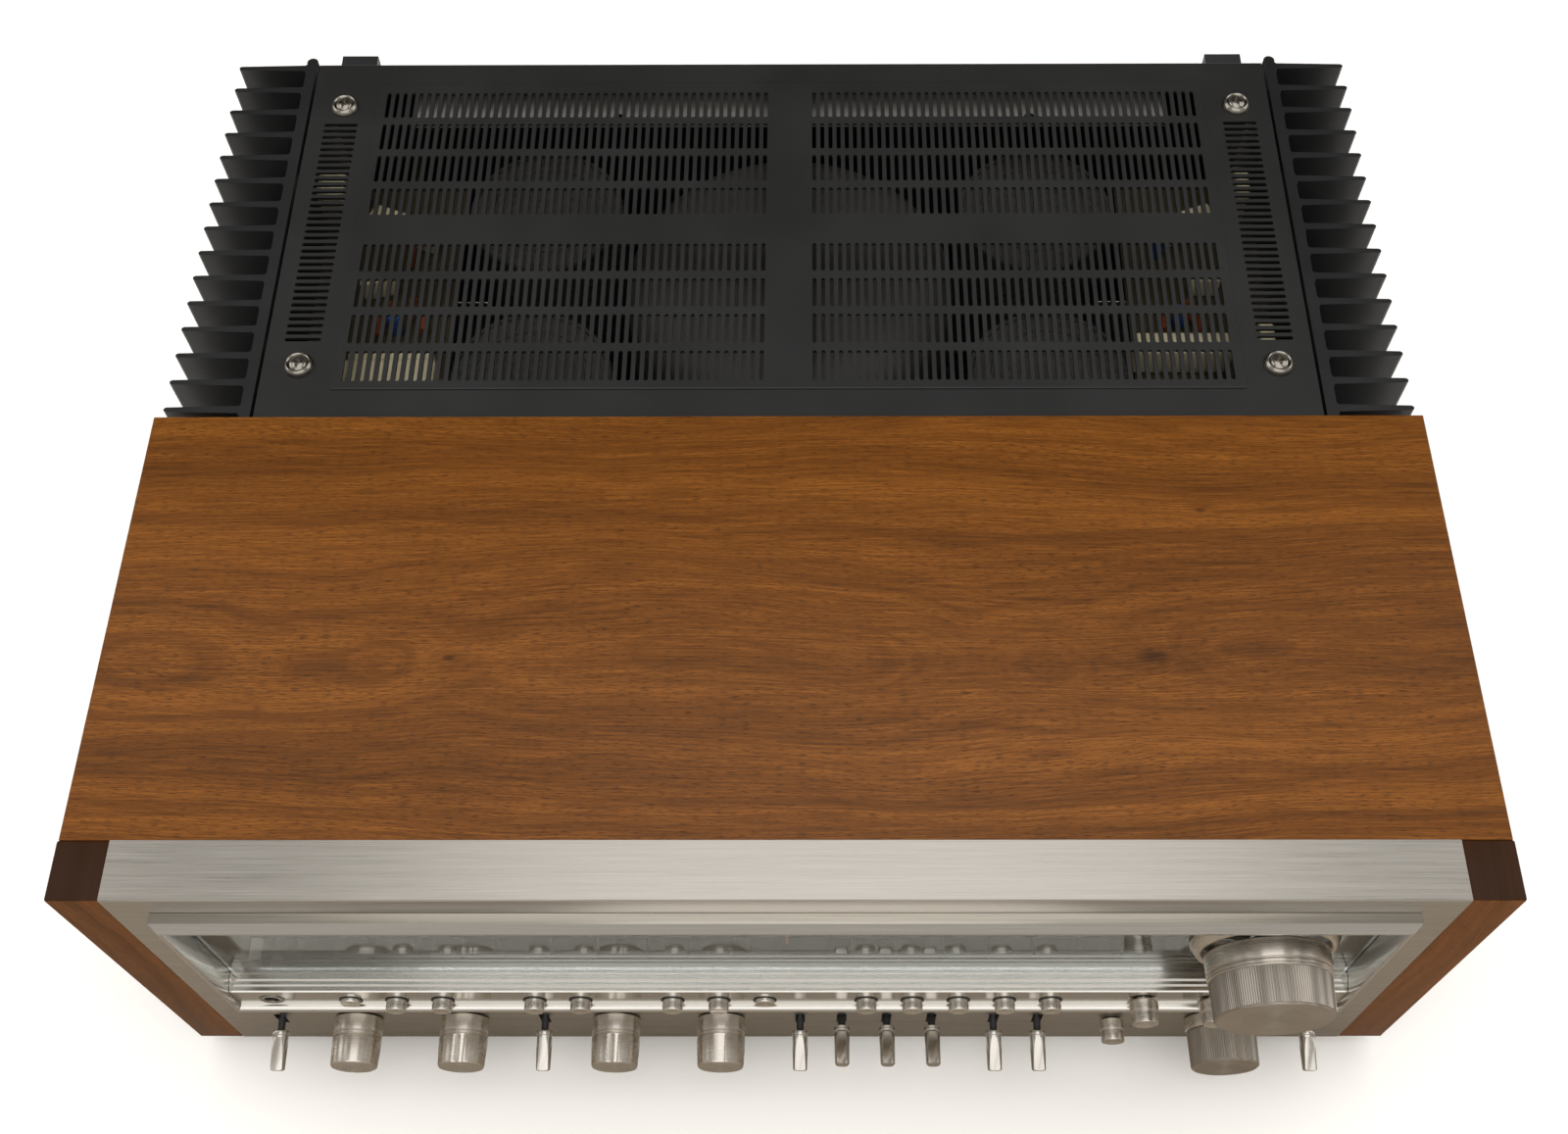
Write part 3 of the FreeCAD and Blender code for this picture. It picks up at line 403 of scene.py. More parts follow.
# metallic, dark tone, light tone, grain in mm, roughness from and to, bump
plainLooks = {
    # button caps, chromed over fine blasting: bright, with a soft edge to each reflection
    "satinChromeButton": (1, "#d9d3ca", "#e6e1d9", 0.6, 0.22, 0.32, 0.03),
    # levers, polished and then chromed: sharp bright and dark facets
    "satinChromeLever": (1, "#c6c1b9", "#d6d1ca", 0.5, 0.14, 0.24, 0.03),
    # screws, washers, socket: barrel-plated nickel, a warm grey shine, slightly clouded
    "nickelPlatedSteel": (1, "#97928a", "#aaa59c", 0.5, 0.16, 0.3, 0.05),
    # pressed steel sheet, zinc-plated: a cool grey, blotchy over a centimetre or so
    "zincPlatedSteel": (1, "#9a9c98", "#b7b9b4", 1.2, 0.3, 0.48, 0.08),
    # stove enamel sprayed on the steel cover: black, with a fine pebble that spreads the light
    "satinBlackEnamel": (0, "#121212", "#171717", 0.7, 0.42, 0.52, 0.16),
    # extruded heat sinks, etched and dyed black: deep and even, with a dull sheen
    "blackAnodisedAluminium": (0, "#0d0d0e", "#131314", 0.4, 0.38, 0.5, 0.1),
    # ABS moulded in a spark-eroded tool: dark grey, matt
    "blackAbsPlastic": (0, "#19191a", "#202021", 0.5, 0.42, 0.55, 0.14),
    # PVC shrunk over the capacitor cans: smooth and rather glossy, with slow ripples
    "shrunkPvcSleeve": (0, "#3a3836", "#454341", 3, 0.22, 0.34, 0.05),
    # hammer-finish paint on the transformer can: a dimpled dark grey
    "hammeredGreyEnamel": (0, "#3c3a38", "#4a4744", 2.2, 0.3, 0.45, 0.3),
    # paper laminate, pressed with phenolic resin: brown and dull
    "phenolicBoard": (0, "#2f2a17", "#3a321c", 0.8, 0.4, 0.55, 0.08),
    # screen ink on the back of the dial: flat black that the figures stand out on
    "dialPrintBlack": (0, "#0b0c0c", "#101112", 0.5, 0.4, 0.5, 0.02),
    # fired and glazed resistor bodies: cream, softly shining
    "glazedCeramic": (0, "#c9bd97", "#d8cdab", 1.5, 0.35, 0.5, 0.06),
    # capacitors dipped in epoxy: a strong blue with a wet shine
    "dippedBlueResin": (0, "#1d3f78", "#27508f", 1, 0.2, 0.32, 0.04),
    # carbon resistors under baked lacquer: red-brown, half gloss
    "lacqueredResistor": (0, "#6e3218", "#854021", 1, 0.25, 0.4, 0.04),
    # the rear strip, whose zinc has gone white and chalky: pale grey, no mirror left
    "dullZincBracket": (0, "#b5b1aa", "#c6c2bb", 1.5, 0.5, 0.65, 0.1),
    # figures and ticks, screen printed: a pale grey-green, matt
    "printedDialInk": (0, "#b8c1b2", "#c6cec0", 0.6, 0.5, 0.6, 0.02),
    # the pointer, dipped in orange lacquer: the one warm colour behind the glass
    "orangeNeedlePaint": (0, "#b5481c", "#c85a28", 0.5, 0.35, 0.45, 0.03),
}
plain = {name: makePlain(name, look) for name, look in plainLooks.items()}
# float glass, polished: clear, with a strong reflection when it is seen aslant
glassClear = newMaterial("floatGlass", {"Base Color": linearColour("#dfe6e2"), "IOR": 1.52,
                                        "Roughness": 0.0, "Transmission Weight": 1})[0]
print("materials made")


# what the CAD nodes wear

nodeFinish = {
    "faceplate": faceMetal, "button_panel": trimMetal, "dial_glass": glassClear,
    "dial_scale": plain["dialPrintBlack"], "dial_pointer": plain["orangeNeedlePaint"],
    "top_cover": plain["satinBlackEnamel"], "rear_panel": plain["satinBlackEnamel"],
    "heatsink_left": plain["blackAnodisedAluminium"], "heatsink_right": plain["blackAnodisedAluminium"],
    "circuit_boards": plain["phenolicBoard"], "output_transistors": plain["nickelPlatedSteel"],
}
for nodeName in ("chassis", "control_bodies", "tuning_capacitor", "capacitor_rotor", "tuning_shaft"):
    nodeFinish[nodeName] = plain["zincPlatedSteel"]
# the button bezels wear black plastic as painted shade: it stands in for the shadow gap round each button
for nodeName in ("rear_terminals", "cord_gland", "rear_standoffs", "button_bezels"):
    nodeFinish[nodeName] = plain["blackAbsPlastic"]
for nodeName, material in nodeFinish.items():
    mesh = nodes[nodeName].data
    mesh.materials.clear()
    mesh.materials.append(material)


# wood

def makeWood():
    sideLow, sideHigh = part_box("wood_sides")
    low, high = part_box("wood_top")
    thick = high.z - low.z
    top = addBlock("woodTop", low, high)
    # mitred ends: the lower face is shorter by the thickness at each end
    selectWhere(top, lambda co: co.z < low.z + thick / 2)
    span = high.x - low.x
    bpy.ops.transform.resize(value=((span - 2 * thick) / span, 1, 1), center_override=(0, 0, low.z))
    bpy.ops.object.mode_set(mode="OBJECT")
    roundEdges(top, 0.25)
    smoothPiece(top)
    finishPiece(top, "receiver", "walnut_veneer", topVeneer, "wood_top")
    for hand, side in ((-1, "Left"), (1, "Right")):
        outer = sideHigh.x * hand
        inner = outer - thick * hand
        corners = sorted((outer, inner))
        panel = addBlock("woodSide" + side, (corners[0], sideLow.y, sideLow.z),
                         (corners[1], sideHigh.y, sideHigh.z))
        selectWhere(panel, lambda co: co.z > sideHigh.z - thick / 2 and abs(co.x) < abs(outer) - thick / 2)
        bpy.ops.transform.translate(value=(0, 0, -thick))
        bpy.ops.object.mode_set(mode="OBJECT")
        roundEdges(panel, 0.25)
        smoothPiece(panel)
        finishPiece(panel, "receiver", "walnut_veneer", sideVeneer, "wood_sides")
    postLow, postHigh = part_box("front_posts")
    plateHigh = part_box("faceplate")[1].x
    for hand, side in ((-1, "Left"), (1, "Right")):
        corners = sorted((postHigh.x * hand, plateHigh * hand))
        post = addBlock("frontPost" + side, (corners[0], postLow.y, postLow.z),
                        (corners[1], postHigh.y, postHigh.z))
        roundEdges(post, 0.9, segments=3)
        smoothPiece(post)
        finishPiece(post, "receiver", "walnut_solid", postWood, "front_posts")
    print("wood made")


# trim frame round the dial and the buttons

trimFrame = {"bar": 4.7, "topRound": 2.0, "endCut": 3.2, "slope": 2.4, "sleeveIn": 2.6}


def makeTrimFrame():
    low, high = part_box("dial_frame")
    front = low.y
    bar = trimFrame["bar"] * mm
    ring = addBlock("trimFrame", low, (high.x, faceY, high.z))
    selectWhere(ring, lambda co: co.y < front + 1 * mm, "FACE")
    bpy.ops.mesh.inset(thickness=bar, depth=0)
    bpy.ops.object.mode_set(mode="OBJECT")
    selectWhere(ring, lambda co: co.y > faceY - 0.1 * mm, "FACE")
    bpy.ops.mesh.inset(thickness=trimFrame["sleeveIn"] * mm, depth=0)
    bpy.ops.mesh.extrude_region_move(TRANSFORM_OT_translate={"value": (0, high.y - faceY, 0)})
    bpy.ops.mesh.inset(thickness=bar - trimFrame["sleeveIn"] * mm, depth=0)
    bpy.ops.object.mode_set(mode="OBJECT")
    selectWhere(ring, lambda co: abs(co.x) < 1 * mm and low.z + 9 * mm < co.z < high.z - 9 * mm
                and (co.y < front + 1 * mm or co.y > high.y - 1 * mm), "FACE")
    bpy.ops.mesh.bridge_edge_loops()
    bpy.ops.object.mode_set(mode="OBJECT")
    # the ends are cut off aslant, the top edge is a small round
    selectWhere(ring, lambda co: co.y < front + 0.1 * mm and abs(co.x) > high.x - 0.1 * mm, "EDGE")
    bpy.ops.mesh.bevel(offset=trimFrame["endCut"] * mm, segments=1, affect="EDGES")
    bpy.ops.object.mode_set(mode="OBJECT")
    selectWhere(ring, lambda co: co.y < front + 0.1 * mm and co.z > high.z - 0.1 * mm, "EDGE")
    bpy.ops.mesh.bevel(offset=trimFrame["topRound"] * mm, segments=4, affect="EDGES")
    bpy.ops.object.mode_set(mode="OBJECT")
    # the lower bar slopes down towards the front
    selectWhere(ring, lambda co: co.y < front + 0.1 * mm and abs(co.z - low.z - bar) < 0.1 * mm
                and abs(co.x) < high.x - bar + 0.1 * mm, "EDGE")
    bpy.ops.mesh.bevel(offset=trimFrame["slope"] * mm, segments=3, affect="EDGES")
    bpy.ops.object.mode_set(mode="OBJECT")
    roundEdges(ring, 0.3, angle=50)
    smoothPiece(ring)
    finishPiece(ring, "receiver", "bright_trim", trimMetal, "dial_frame")
    print("trim frame made")


# push buttons

pushButton = {
    "rings": [(0.4, 0.35), (3.2, 0.14), (3.5, 0), (4.0, 0.15), (4.3, 0.5), (4.4, 0.9), (4.4, 12.3),
              (2.4, 12.3), (2.4, 33)],
    "count": 13, "sides": 48, "edge": 0.18,
}


def makeButtons():
    first = None
    for index in range(1, pushButton["count"] + 1):
        node = f"button_{index:02d}"
        low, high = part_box(node)
        centre = ((low.x + high.x) / 2, low.y, (low.z + high.z) / 2)
        if first is None:
            piece = turnPiece("buttonCap01", centre, pushButton["rings"], pushButton["sides"])
            roundEdges(piece, pushButton["edge"])
            smoothPiece(piece)
            markRadius(piece, centre)
            first = (piece, centre)
        else:
            shift = [a - b for a, b in zip(centre, first[1])]
            piece = copyPiece(first[0], f"buttonCap{index:02d}", shift)
        finishPiece(piece, node + "_body", "chrome_plate", plain["satinChromeButton"], node)
    print("buttons made")


# bat levers

batLever = {
    "bat": [(2.2, -31), (2.9, -30.8), (3.2, -30.3), (3.5, -20), (3.5, -16.4)],
    "collar": [(1.6, -16.5), (3.3, -16.5), (3.35, -15.5), (3.7, -15.3), (3.75, -13.6), (3.5, -13.25),
               (2.3, -13.25), (1.5, -14)],
    "shaft": [(2.4, 2.2), (2.5, 0), (1.65, -1.8), (1.65, -14.5)],
    "endHalf": 1.95, "rootHalf": 3.3, "tilt": 10, "count": 9,
}


def makeLevers():
    size = batLever
    for index in range(1, size["count"] + 1):
        node = f"lever_{index}"
        low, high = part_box(node)
        joint = next(j for j in frame["joints"] if j["child"] == node + "_body")
        pivot = tuple(joint["pos_m"])
        shaft = turnPiece(f"leverShaft{index}", pivot, size["shaft"], sides=24)
        smoothPiece(shaft)
        collar = turnPiece(f"leverCollar{index}", pivot, size["collar"], sides=48)
        roundEdges(collar, 0.12)
        smoothPiece(collar)
        bat = turnPiece(f"leverBat{index}", pivot, size["bat"], sides=64)
        cutFlats(bat, pivot)
        roundEdges(bat, 0.15, angle=18)
        smoothPiece(bat, 15)
        upward = (low.z + high.z) / 2 > pivot[2]
        turn = math.radians(size["tilt"]) * (-1 if upward else 1)
        for piece in (shaft, collar, bat):
            makeActive(piece)
            bpy.ops.transform.rotate(value=-turn, orient_axis="X", center_override=pivot)
            bpy.ops.object.transform_apply(location=True, rotation=True, scale=True)
        finishPiece(shaft, node + "_body", "black_plastic", plain["blackAbsPlastic"])
        finishPiece(collar, node + "_body", "chrome_plate", plain["satinChromeLever"])
        finishPiece(bat, node + "_body", "chrome_plate", plain["satinChromeLever"], node)
    print("levers made")


def cutFlats(bat, pivot):
    # a flat above and one below, closing towards the tip
    size = batLever
    reach = size["bat"][-1][1] - size["bat"][0][1]
    slope = math.atan2(size["rootHalf"] - size["endHalf"], reach)
    for hand in (-1, 1):
        spot = (pivot[0], pivot[1] + size["bat"][0][1] * mm, pivot[2] + size["endHalf"] * hand * mm)
        corners = sorted((spot[2], spot[2] + 6 * hand * mm))
        cutter = addBlock("flatCutter", (spot[0] - 5 * mm, spot[1] - 5 * mm, corners[0]),
                          (spot[0] + 5 * mm, spot[1] + 20 * mm, corners[1]))
        bpy.ops.transform.rotate(value=-slope * hand, orient_axis="X", center_override=spot)
        bpy.ops.object.transform_apply(location=True, rotation=True, scale=True)
        applyModifier(bat, "BOOLEAN", {"operation": "DIFFERENCE", "object": cutter, "solver": "EXACT"})
        bpy.data.objects.remove(cutter)


# knobs

toneKnob = {
    "rings": [(0.5, -21.9), (9.4, -22.4), (10.1, -22.3), (10.4, -21.6), (11.0, -10.4), (10.9, -9.6),
              (10.4, -9.2), (10.4, -8.6), (10.9, -8.5), (10.9, -8.0), (10.5, -7.9), (10.5, -7.4),
              (10.8, -7.3), (10.9, -0.6), (3, -0.6), (3, 26)],
    "sides": 96,
    "turns": {"tone_knob_1": -130, "tone_knob_2": 0, "tone_knob_3": 0, "tone_knob_4": 0},
    "flat": 12, "flatNear": -22.35, "flatFar": -10, "flatRadius": 9, "flatScale": 0.955,
}


def makeKnobPieces(node, rings, sides, name):
    low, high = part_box(node)
    centre = ((low.x + high.x) / 2, faceY, (low.z + high.z) / 2)
    piece = turnPiece(name, centre, rings, sides=sides)
    return piece, centre


def makeToneKnobs():
    for node, turn in toneKnob["turns"].items():
        piece, centre = makeKnobPieces(node, toneKnob["rings"], toneKnob["sides"], node.replace("_k", "K"))

        def inPointer(co):
            angle = math.degrees(math.atan2(co.z - centre[2], co.x - centre[0])) - 90 - turn
            angle = (angle + 180) % 360 - 180
            behind = (co.y - centre[1]) / mm
            outside = math.hypot(co.x - centre[0], co.z - centre[2]) > toneKnob["flatRadius"] * mm
            onBody = toneKnob["flatNear"] < behind < toneKnob["flatFar"]
            return outside and onBody and abs(angle) < toneKnob["flat"] and angle != 0
        # a pointer ridge stands between two shallow flats
        selectWhere(piece, inPointer)
        shrink = toneKnob["flatScale"]
        bpy.ops.transform.resize(value=(shrink, 1, shrink), center_override=centre)
        bpy.ops.object.mode_set(mode="OBJECT")
        roundEdges(piece, 0.15, angle=25)
        smoothPiece(piece, 30)
        markRadius(piece, centre)
        finishPiece(piece, node + "_body", "spun_aluminium", knobMetal, node)
    print("tone knobs made")


smallKnob = {
    "front": [(0.4, 0.9), (4.8, 0.25), (5.3, 0.1), (5.6, 0), (5.8, 0.4), (5.9, 4.2), (5.6, 4.4),
              (5.6, 4.9), (6.1, 5.1), (6.3, 5.3), (6.3, 9.5), (5.9, 9.8)],
    "sides": 48,
    # reach before the faceplate, gap behind, scale of the radii
    "places": {"small_knob_low": (10.9, 1.1, 0.89), "small_knob_left": (15.2, 5.2, 1),
               "small_knob_right": (15.2, 5.2, 1)},
}


def makeSmallKnobs():
    for node, (out, back, grow) in smallKnob["places"].items():
        rings = [(radius * grow, reach - out) for radius, reach in smallKnob["front"]]
        rings += [(5.9 * grow, -back), (3, -back), (3, 24)]
        piece, centre = makeKnobPieces(node, rings, smallKnob["sides"], node.replace("_k", "K"))
        roundEdges(piece, 0.12, angle=25)
        smoothPiece(piece, 30)
        markRadius(piece, centre)
        finishPiece(piece, node + "_body", "spun_aluminium", knobMetal, node)
    print("small knobs made")


volumeKnob = {
    "grip": [(14.6, -22.1), (15.2, -21.8), (15.5, -7.0), (15.2, -6.4)],
    "skirt": [(15.6, -6.2), (15.9, -5.2), (16.1, -0.6), (3, -0.6), (3, 26)],
    "cap": [(0.5, -21.0), (13.4, -22.2), (14.4, -22.45), (14.8, -22.2), (14.8, -20)],
    "sides": 176,
}
tuningKnob = {
    "grip": [(23.4, -28.4), (24.1, -28.0), (24.6, -13.6), (24.2, -13.2)],
    "skirt": [(24.3, -13.4), (24.9, -13.1), (24.9, -12.5), (24.5, -12.4), (24.5, -11.9), (25.1, -11.8),
              (25.1, -10.9), (24.6, -10.7), (24.6, -10.2), (25.2, -10.0), (25.2, -2.6), (24.4, -2.0),
              (3, -2.0), (3, -1)],
    "cap": [(0.6, -27.7), (21.6, -28.85), (22.9, -29.0), (23.4, -28.6), (23.4, -26)],
    "sides": 308,
}


def makeBigKnob(node, body, parts, name):
    low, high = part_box(node)
    centre = ((low.x + high.x) / 2, faceY, (low.z + high.z) / 2)
    grip = parts["grip"]
    core = turnPiece(name + "Grip", centre, [(2, grip[0][1])] + grip + [(3, grip[-1][1])], parts["sides"])
    cutTeeth(core, centre, grip[1][1] - 0.1, grip[2][1] + 0.1, parts["sides"], 0.24)
    smoothPiece(core, 20)
    markRadius(core, centre)
    finishPiece(core, body, "spun_aluminium", gripMetal, node)
    cap = turnPiece(name + "Cap", centre, parts["cap"] + [(2, parts["cap"][-1][1])], 96)
    smoothPiece(cap)
    markRadius(cap, centre)
    finishPiece(cap, body, "spun_aluminium", capMetal)
    base = turnPiece(name + "Base", centre, [(3, parts["skirt"][0][1])] + parts["skirt"], 128)
    roundEdges(base, 0.12, angle=25)
    smoothPiece(base)
    markRadius(base, centre)
    finishPiece(base, body, "spun_aluminium", knobMetal)
    print(name, "made")


# ring on the glass, jack

glassRing = {
    "rings": [(26.0, -4.2), (26.5, -5.0), (27.3, -5.2), (28.2, -4.8), (29.4, -2.6), (30.2, -1.2),
              (30.2, -0.02), (26.0, -0.02)],
}
phonesSocket = {
    "rings": [(3.25, 1.6), (3.5, 1.3), (5.3, 1.2), (5.6, 1.4), (5.6, 1.6), (4.5, 1.7), (4.5, 5), (7.5, 5),
              (7.5, 30), (3.25, 30)],
}


def makeGlassRing():
    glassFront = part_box("dial_glass")[0].y
    low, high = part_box("tuning_knob")
    centre = ((low.x + high.x) / 2, glassFront, (low.z + high.z) / 2)
    piece = turnPiece("tuningRing", centre, glassRing["rings"], 128)
    openMiddle(piece, centre)
    smoothPiece(piece, 50)
    markRadius(piece, centre)
    finishPiece(piece, "receiver", "spun_aluminium", knobMetal)


def openMiddle(piece, centre):
    # takes out the two round faces and joins their rims, which leaves a ring
    selectWhere(piece, lambda co: math.hypot(co.x - centre[0], co.z - centre[2]) < 0.5 * mm, "FACE")
    bpy.ops.mesh.bridge_edge_loops()
    bpy.ops.mesh.select_all(action="SELECT")
    bpy.ops.mesh.normals_make_consistent(inside=False)
    bpy.ops.object.mode_set(mode="OBJECT")


def makeJack():
    low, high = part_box("phones_jack")
    centre = ((low.x + high.x) / 2, low.y, (low.z + high.z) / 2)
    piece = turnPiece("phonesSocket", centre, phonesSocket["rings"], 48)
    openMiddle(piece, centre)
    roundEdges(piece, 0.12)
    smoothPiece(piece)
    markRadius(piece, centre)
    finishPiece(piece, "receiver", "nickel_plate", plain["nickelPlatedSteel"], "phones_jack")
    print("ring and socket made")


# cover screws and cup washers

coverScrew = {
    "washer": [(2.4, 0.02), (6.3, 0.02), (6.8, 0.3), (6.6, 1.2), (5.7, 2.6), (5.2, 2.9), (4.7, 2.6),
               (4.2, 1.4), (2.4, 1.2)],
    "screw": [(2.2, -9), (2.2, 1.25), (4.0, 1.5), (4.0, 2.2), (3.4, 2.9), (1.6, 3.3), (0.3, 3.4)],
    "inset": 6.8, "below": 0.8,
    "slotHalf": (2.3, 0.5), "slotFloor": 1.9, "slotTop": 5,
}


def makeFasteners():
    low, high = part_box("cover_fasteners")
    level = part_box("top_cover")[1].z - coverScrew["below"] * mm
    inset = coverScrew["inset"] * mm
    count = 0
    for x in (low.x + inset, high.x - inset):
        for y in (low.y + inset, high.y - inset):
            count += 1
            centre = (x, y, level)
            washer = turnPiece(f"cupWasher{count}", centre, coverScrew["washer"], 48, "Z")
            smoothPiece(washer, 50)
            finishPiece(washer, "receiver", "nickel_plate", plain["nickelPlatedSteel"], "cover_fasteners")
            screw = turnPiece(f"coverScrew{count}", centre, coverScrew["screw"], 48, "Z")
            makeCross(screw, centre)
            smoothPiece(screw, 40)
            finishPiece(screw, "receiver", "nickel_plate", plain["nickelPlatedSteel"])
    print("cover fasteners made")


def makeCross(screw, centre):
    # a cross recess, cut with two blocks
    long, short = (half * mm for half in coverScrew["slotHalf"])
    floorZ = centre[2] + coverScrew["slotFloor"] * mm
    topZ = centre[2] + coverScrew["slotTop"] * mm
    for half in ((long, short), (short, long)):
        cutter = addBlock("crossCutter", (centre[0] - half[0], centre[1] - half[1], floorZ),
                          (centre[0] + half[0], centre[1] + half[1], topZ))
        applyModifier(screw, "BOOLEAN", {"operation": "DIFFERENCE", "object": cutter, "solver": "EXACT"})
        bpy.data.objects.remove(cutter)


# what shows through the slots

# rings from the floor up, then rings measured down from the top
transformerCan = {
    "wall": [(2, 17.2), (79, 17.2), (79.9, 18)],
    "top": [(79.9, 14), (78, 7), (72, 2), (66, 0.2), (30, 0.1), (26, 2.5), (4, 2.5)],
}
filterCapacitor = {
    "wall": [(2, 18.1), (38, 18.1), (38.9, 19)],
    "top": [(38.9, 1.2), (38.2, 0.2), (36.6, 0.2), (36, 1.4), (28, 1.6), (27.6, 2.2), (26, 2.2),
            (25.6, 1.6), (6, 1.6)],
    "inset": 39,
}


def canRings(can, topZ):
    return can["wall"] + [(radius, topZ / mm - drop) for radius, drop in can["top"]]


def makeInside():
    low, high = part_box("transformer")
    centre = ((low.x + high.x) / 2, (low.y + high.y) / 2, 0)
    rings = canRings(transformerCan, high.z)
    can = turnPiece("transformerCan", centre, rings, 128, "Z")
    smoothPiece(can, 40)
    finishPiece(can, "receiver", "grey_paint", plain["hammeredGreyEnamel"], "transformer")
    low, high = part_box("filter_capacitors")
    rings = canRings(filterCapacitor, high.z)
    inset = filterCapacitor["inset"] * mm
    count = 0
    for x in (low.x + inset, high.x - inset):
        for y in (low.y + inset, high.y - inset):
            count += 1
            can = turnPiece(f"filterCapacitor{count}", (x, y, 0), rings, 96, "Z")
            smoothPiece(can, 30)
            finishPiece(can, "receiver", "black_sleeve", plain["shrunkPvcSleeve"], "filter_capacitors")
    print("transformer and capacitors made")


# left and right driver boards just below the slots: what stands on them, in millimetres
driverBoard = {
    "level": 168, "thick": 1.6, "near": 34, "far": 170, "inner": 164, "outer": 232,
    # left, right, near, far, top, turn
    "ceramic": [(-208, -173, 134, 143, 184, -22), (-234, -220, 150, 163, 190, 0),
                (-208, -168, 56, 62, 180, 0),
                (-208, -165, 39, 52, 186, 0), (-235, -221, 57, 60, 190, 0), (177, 209, 134, 143, 184, 22),
                (220, 227, 150, 165, 190, 0), (220, 227, 57, 70, 190, 0), (163, 208, 55, 67, 186, 0),
                (194, 208, 101, 106, 182, 0), (-208, -191, 101, 107, 182, 14)],
    "blue": [(-189, 81), (187, 84), (181, 128)],
    "brown": [(-198, 80), (-194, 88), (-182, 90), (-176, 82), (180, 82), (193, 88), (197, 81), (-186, 122)],
    "can": [(1, 0), (3.4, 0), (3.6, 0.6), (3.6, 11), (3.0, 12), (1, 12)],
    "tube": [(0.5, -6), (1.9, -5.6), (2.1, -4.6), (1.8, -3.6), (1.8, 3.6), (2.1, 4.6), (1.9, 5.6),
             (0.5, 6)],
    "leg": [(0.6, 0), (0.6, 5)],
}


def makeDriverBoards():
    size = driverBoard
    for hand, side in ((-1, "Left"), (1, "Right")):
        edges = sorted((size["inner"] * hand, size["outer"] * hand))
        board = addBlock("driverBoard" + side, (edges[0] * mm, size["near"] * mm, size["level"] * mm),
                         (edges[1] * mm, size["far"] * mm, (size["level"] + size["thick"]) * mm))
        roundEdges(board, 0.2)
        finishPiece(board, "receiver", "circuit_board", plain["phenolicBoard"])
    base = (size["level"] + size["thick"]) * mm
    for index, (x0, x1, y0, y1, top, turn) in enumerate(size["ceramic"], start=1):
        block = addBlock(f"ceramicPart{index:02d}", (x0 * mm, y0 * mm, base), (x1 * mm, y1 * mm, top * mm))
        if turn:
            bpy.ops.transform.rotate(value=-math.radians(turn), orient_axis="Z",
                                     center_override=((x0 + x1) / 2 * mm, (y0 + y1) / 2 * mm, base))
            bpy.ops.object.transform_apply(location=True, rotation=True, scale=True)
        roundEdges(block, 1.2, segments=3)
        smoothPiece(block)
        finishPiece(block, "receiver", "circuit_board", plain["glazedCeramic"])
    for index, (x, y) in enumerate(size["blue"], start=1):
        can = turnPiece(f"blueCapacitor{index}", (x * mm, y * mm, base), size["can"], 32, "Z")
        smoothPiece(can)
        finishPiece(can, "receiver", "circuit_board", plain["dippedBlueResin"])
    for index, (x, y) in enumerate(size["brown"], start=1):
        tube = turnPiece(f"brownResistor{index}", (x * mm, y * mm, base + 6 * mm), size["tube"], 24, "Y")
        smoothPiece(tube)
        leg = turnPiece(f"resistorLeg{index}", (x * mm, y * mm, base), size["leg"], 12, "Z")
        smoothPiece(leg)
        finishPiece(tube, "receiver", "circuit_board", plain["lacqueredResistor"])
        finishPiece(leg, "receiver", "zinc_steel", plain["zincPlatedSteel"])
    print("driver boards made")


rearBracket = {"ends": (-189.6, 191.2), "near": 195.7, "level": 189, "thick": 1.5, "screws": (-87, 121),
               "head": [(1.5, -2.5), (1.5, 0), (3, 0), (2.8, 1.2), (1.6, 2), (0.3, 2.1)]}


def makeRearBracket():
    # a flat strip across the back, under the last row of slots
    size = rearBracket
    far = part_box("rear_panel")[0].y - 0.1 * mm
    top = size["level"] * mm
    strip = addBlock("rearBracket", (size["ends"][0] * mm, size["near"] * mm, top - size["thick"] * mm),
                     (size["ends"][1] * mm, far, top))
    roundEdges(strip, 0.4)
    smoothPiece(strip)
    finishPiece(strip, "receiver", "zinc_steel", plain["dullZincBracket"])
    for index, x in enumerate(size["screws"], start=1):
        head = turnPiece(f"bracketScrew{index}", (x * mm, (size["near"] + 4) * mm, top), size["head"],
                         32, "Z")
        smoothPiece(head)
        finishPiece(head, "receiver", "nickel_plate", plain["nickelPlatedSteel"])
    print("rear bracket made")


# dial print: plain numbers and ticks over the pointer's travel

dialPrint = {
    "upper": [(str(88 + 2 * i), -80 + 16 * i) for i in range(11)],
    "lower": [("54", -80), ("60", -64), ("70", -44), ("80", -27), ("100", 0), ("120", 28), ("140", 54),
              ("160", 80)],
    "upperZ": 171, "lowerZ": 132, "size": 5.5, "ink": 0.06,
    "scaleZ": 154, "tickCount": 101, "tickStep": 1.6, "tickHalf": 0.12, "tickTall": (5, 3.4, 2),
    "rowZ": {"upper": 166.5, "lower": 139.5}, "markHalf": 0.2, "markTall": 3, "lineHalf": (88, 0.15),
}


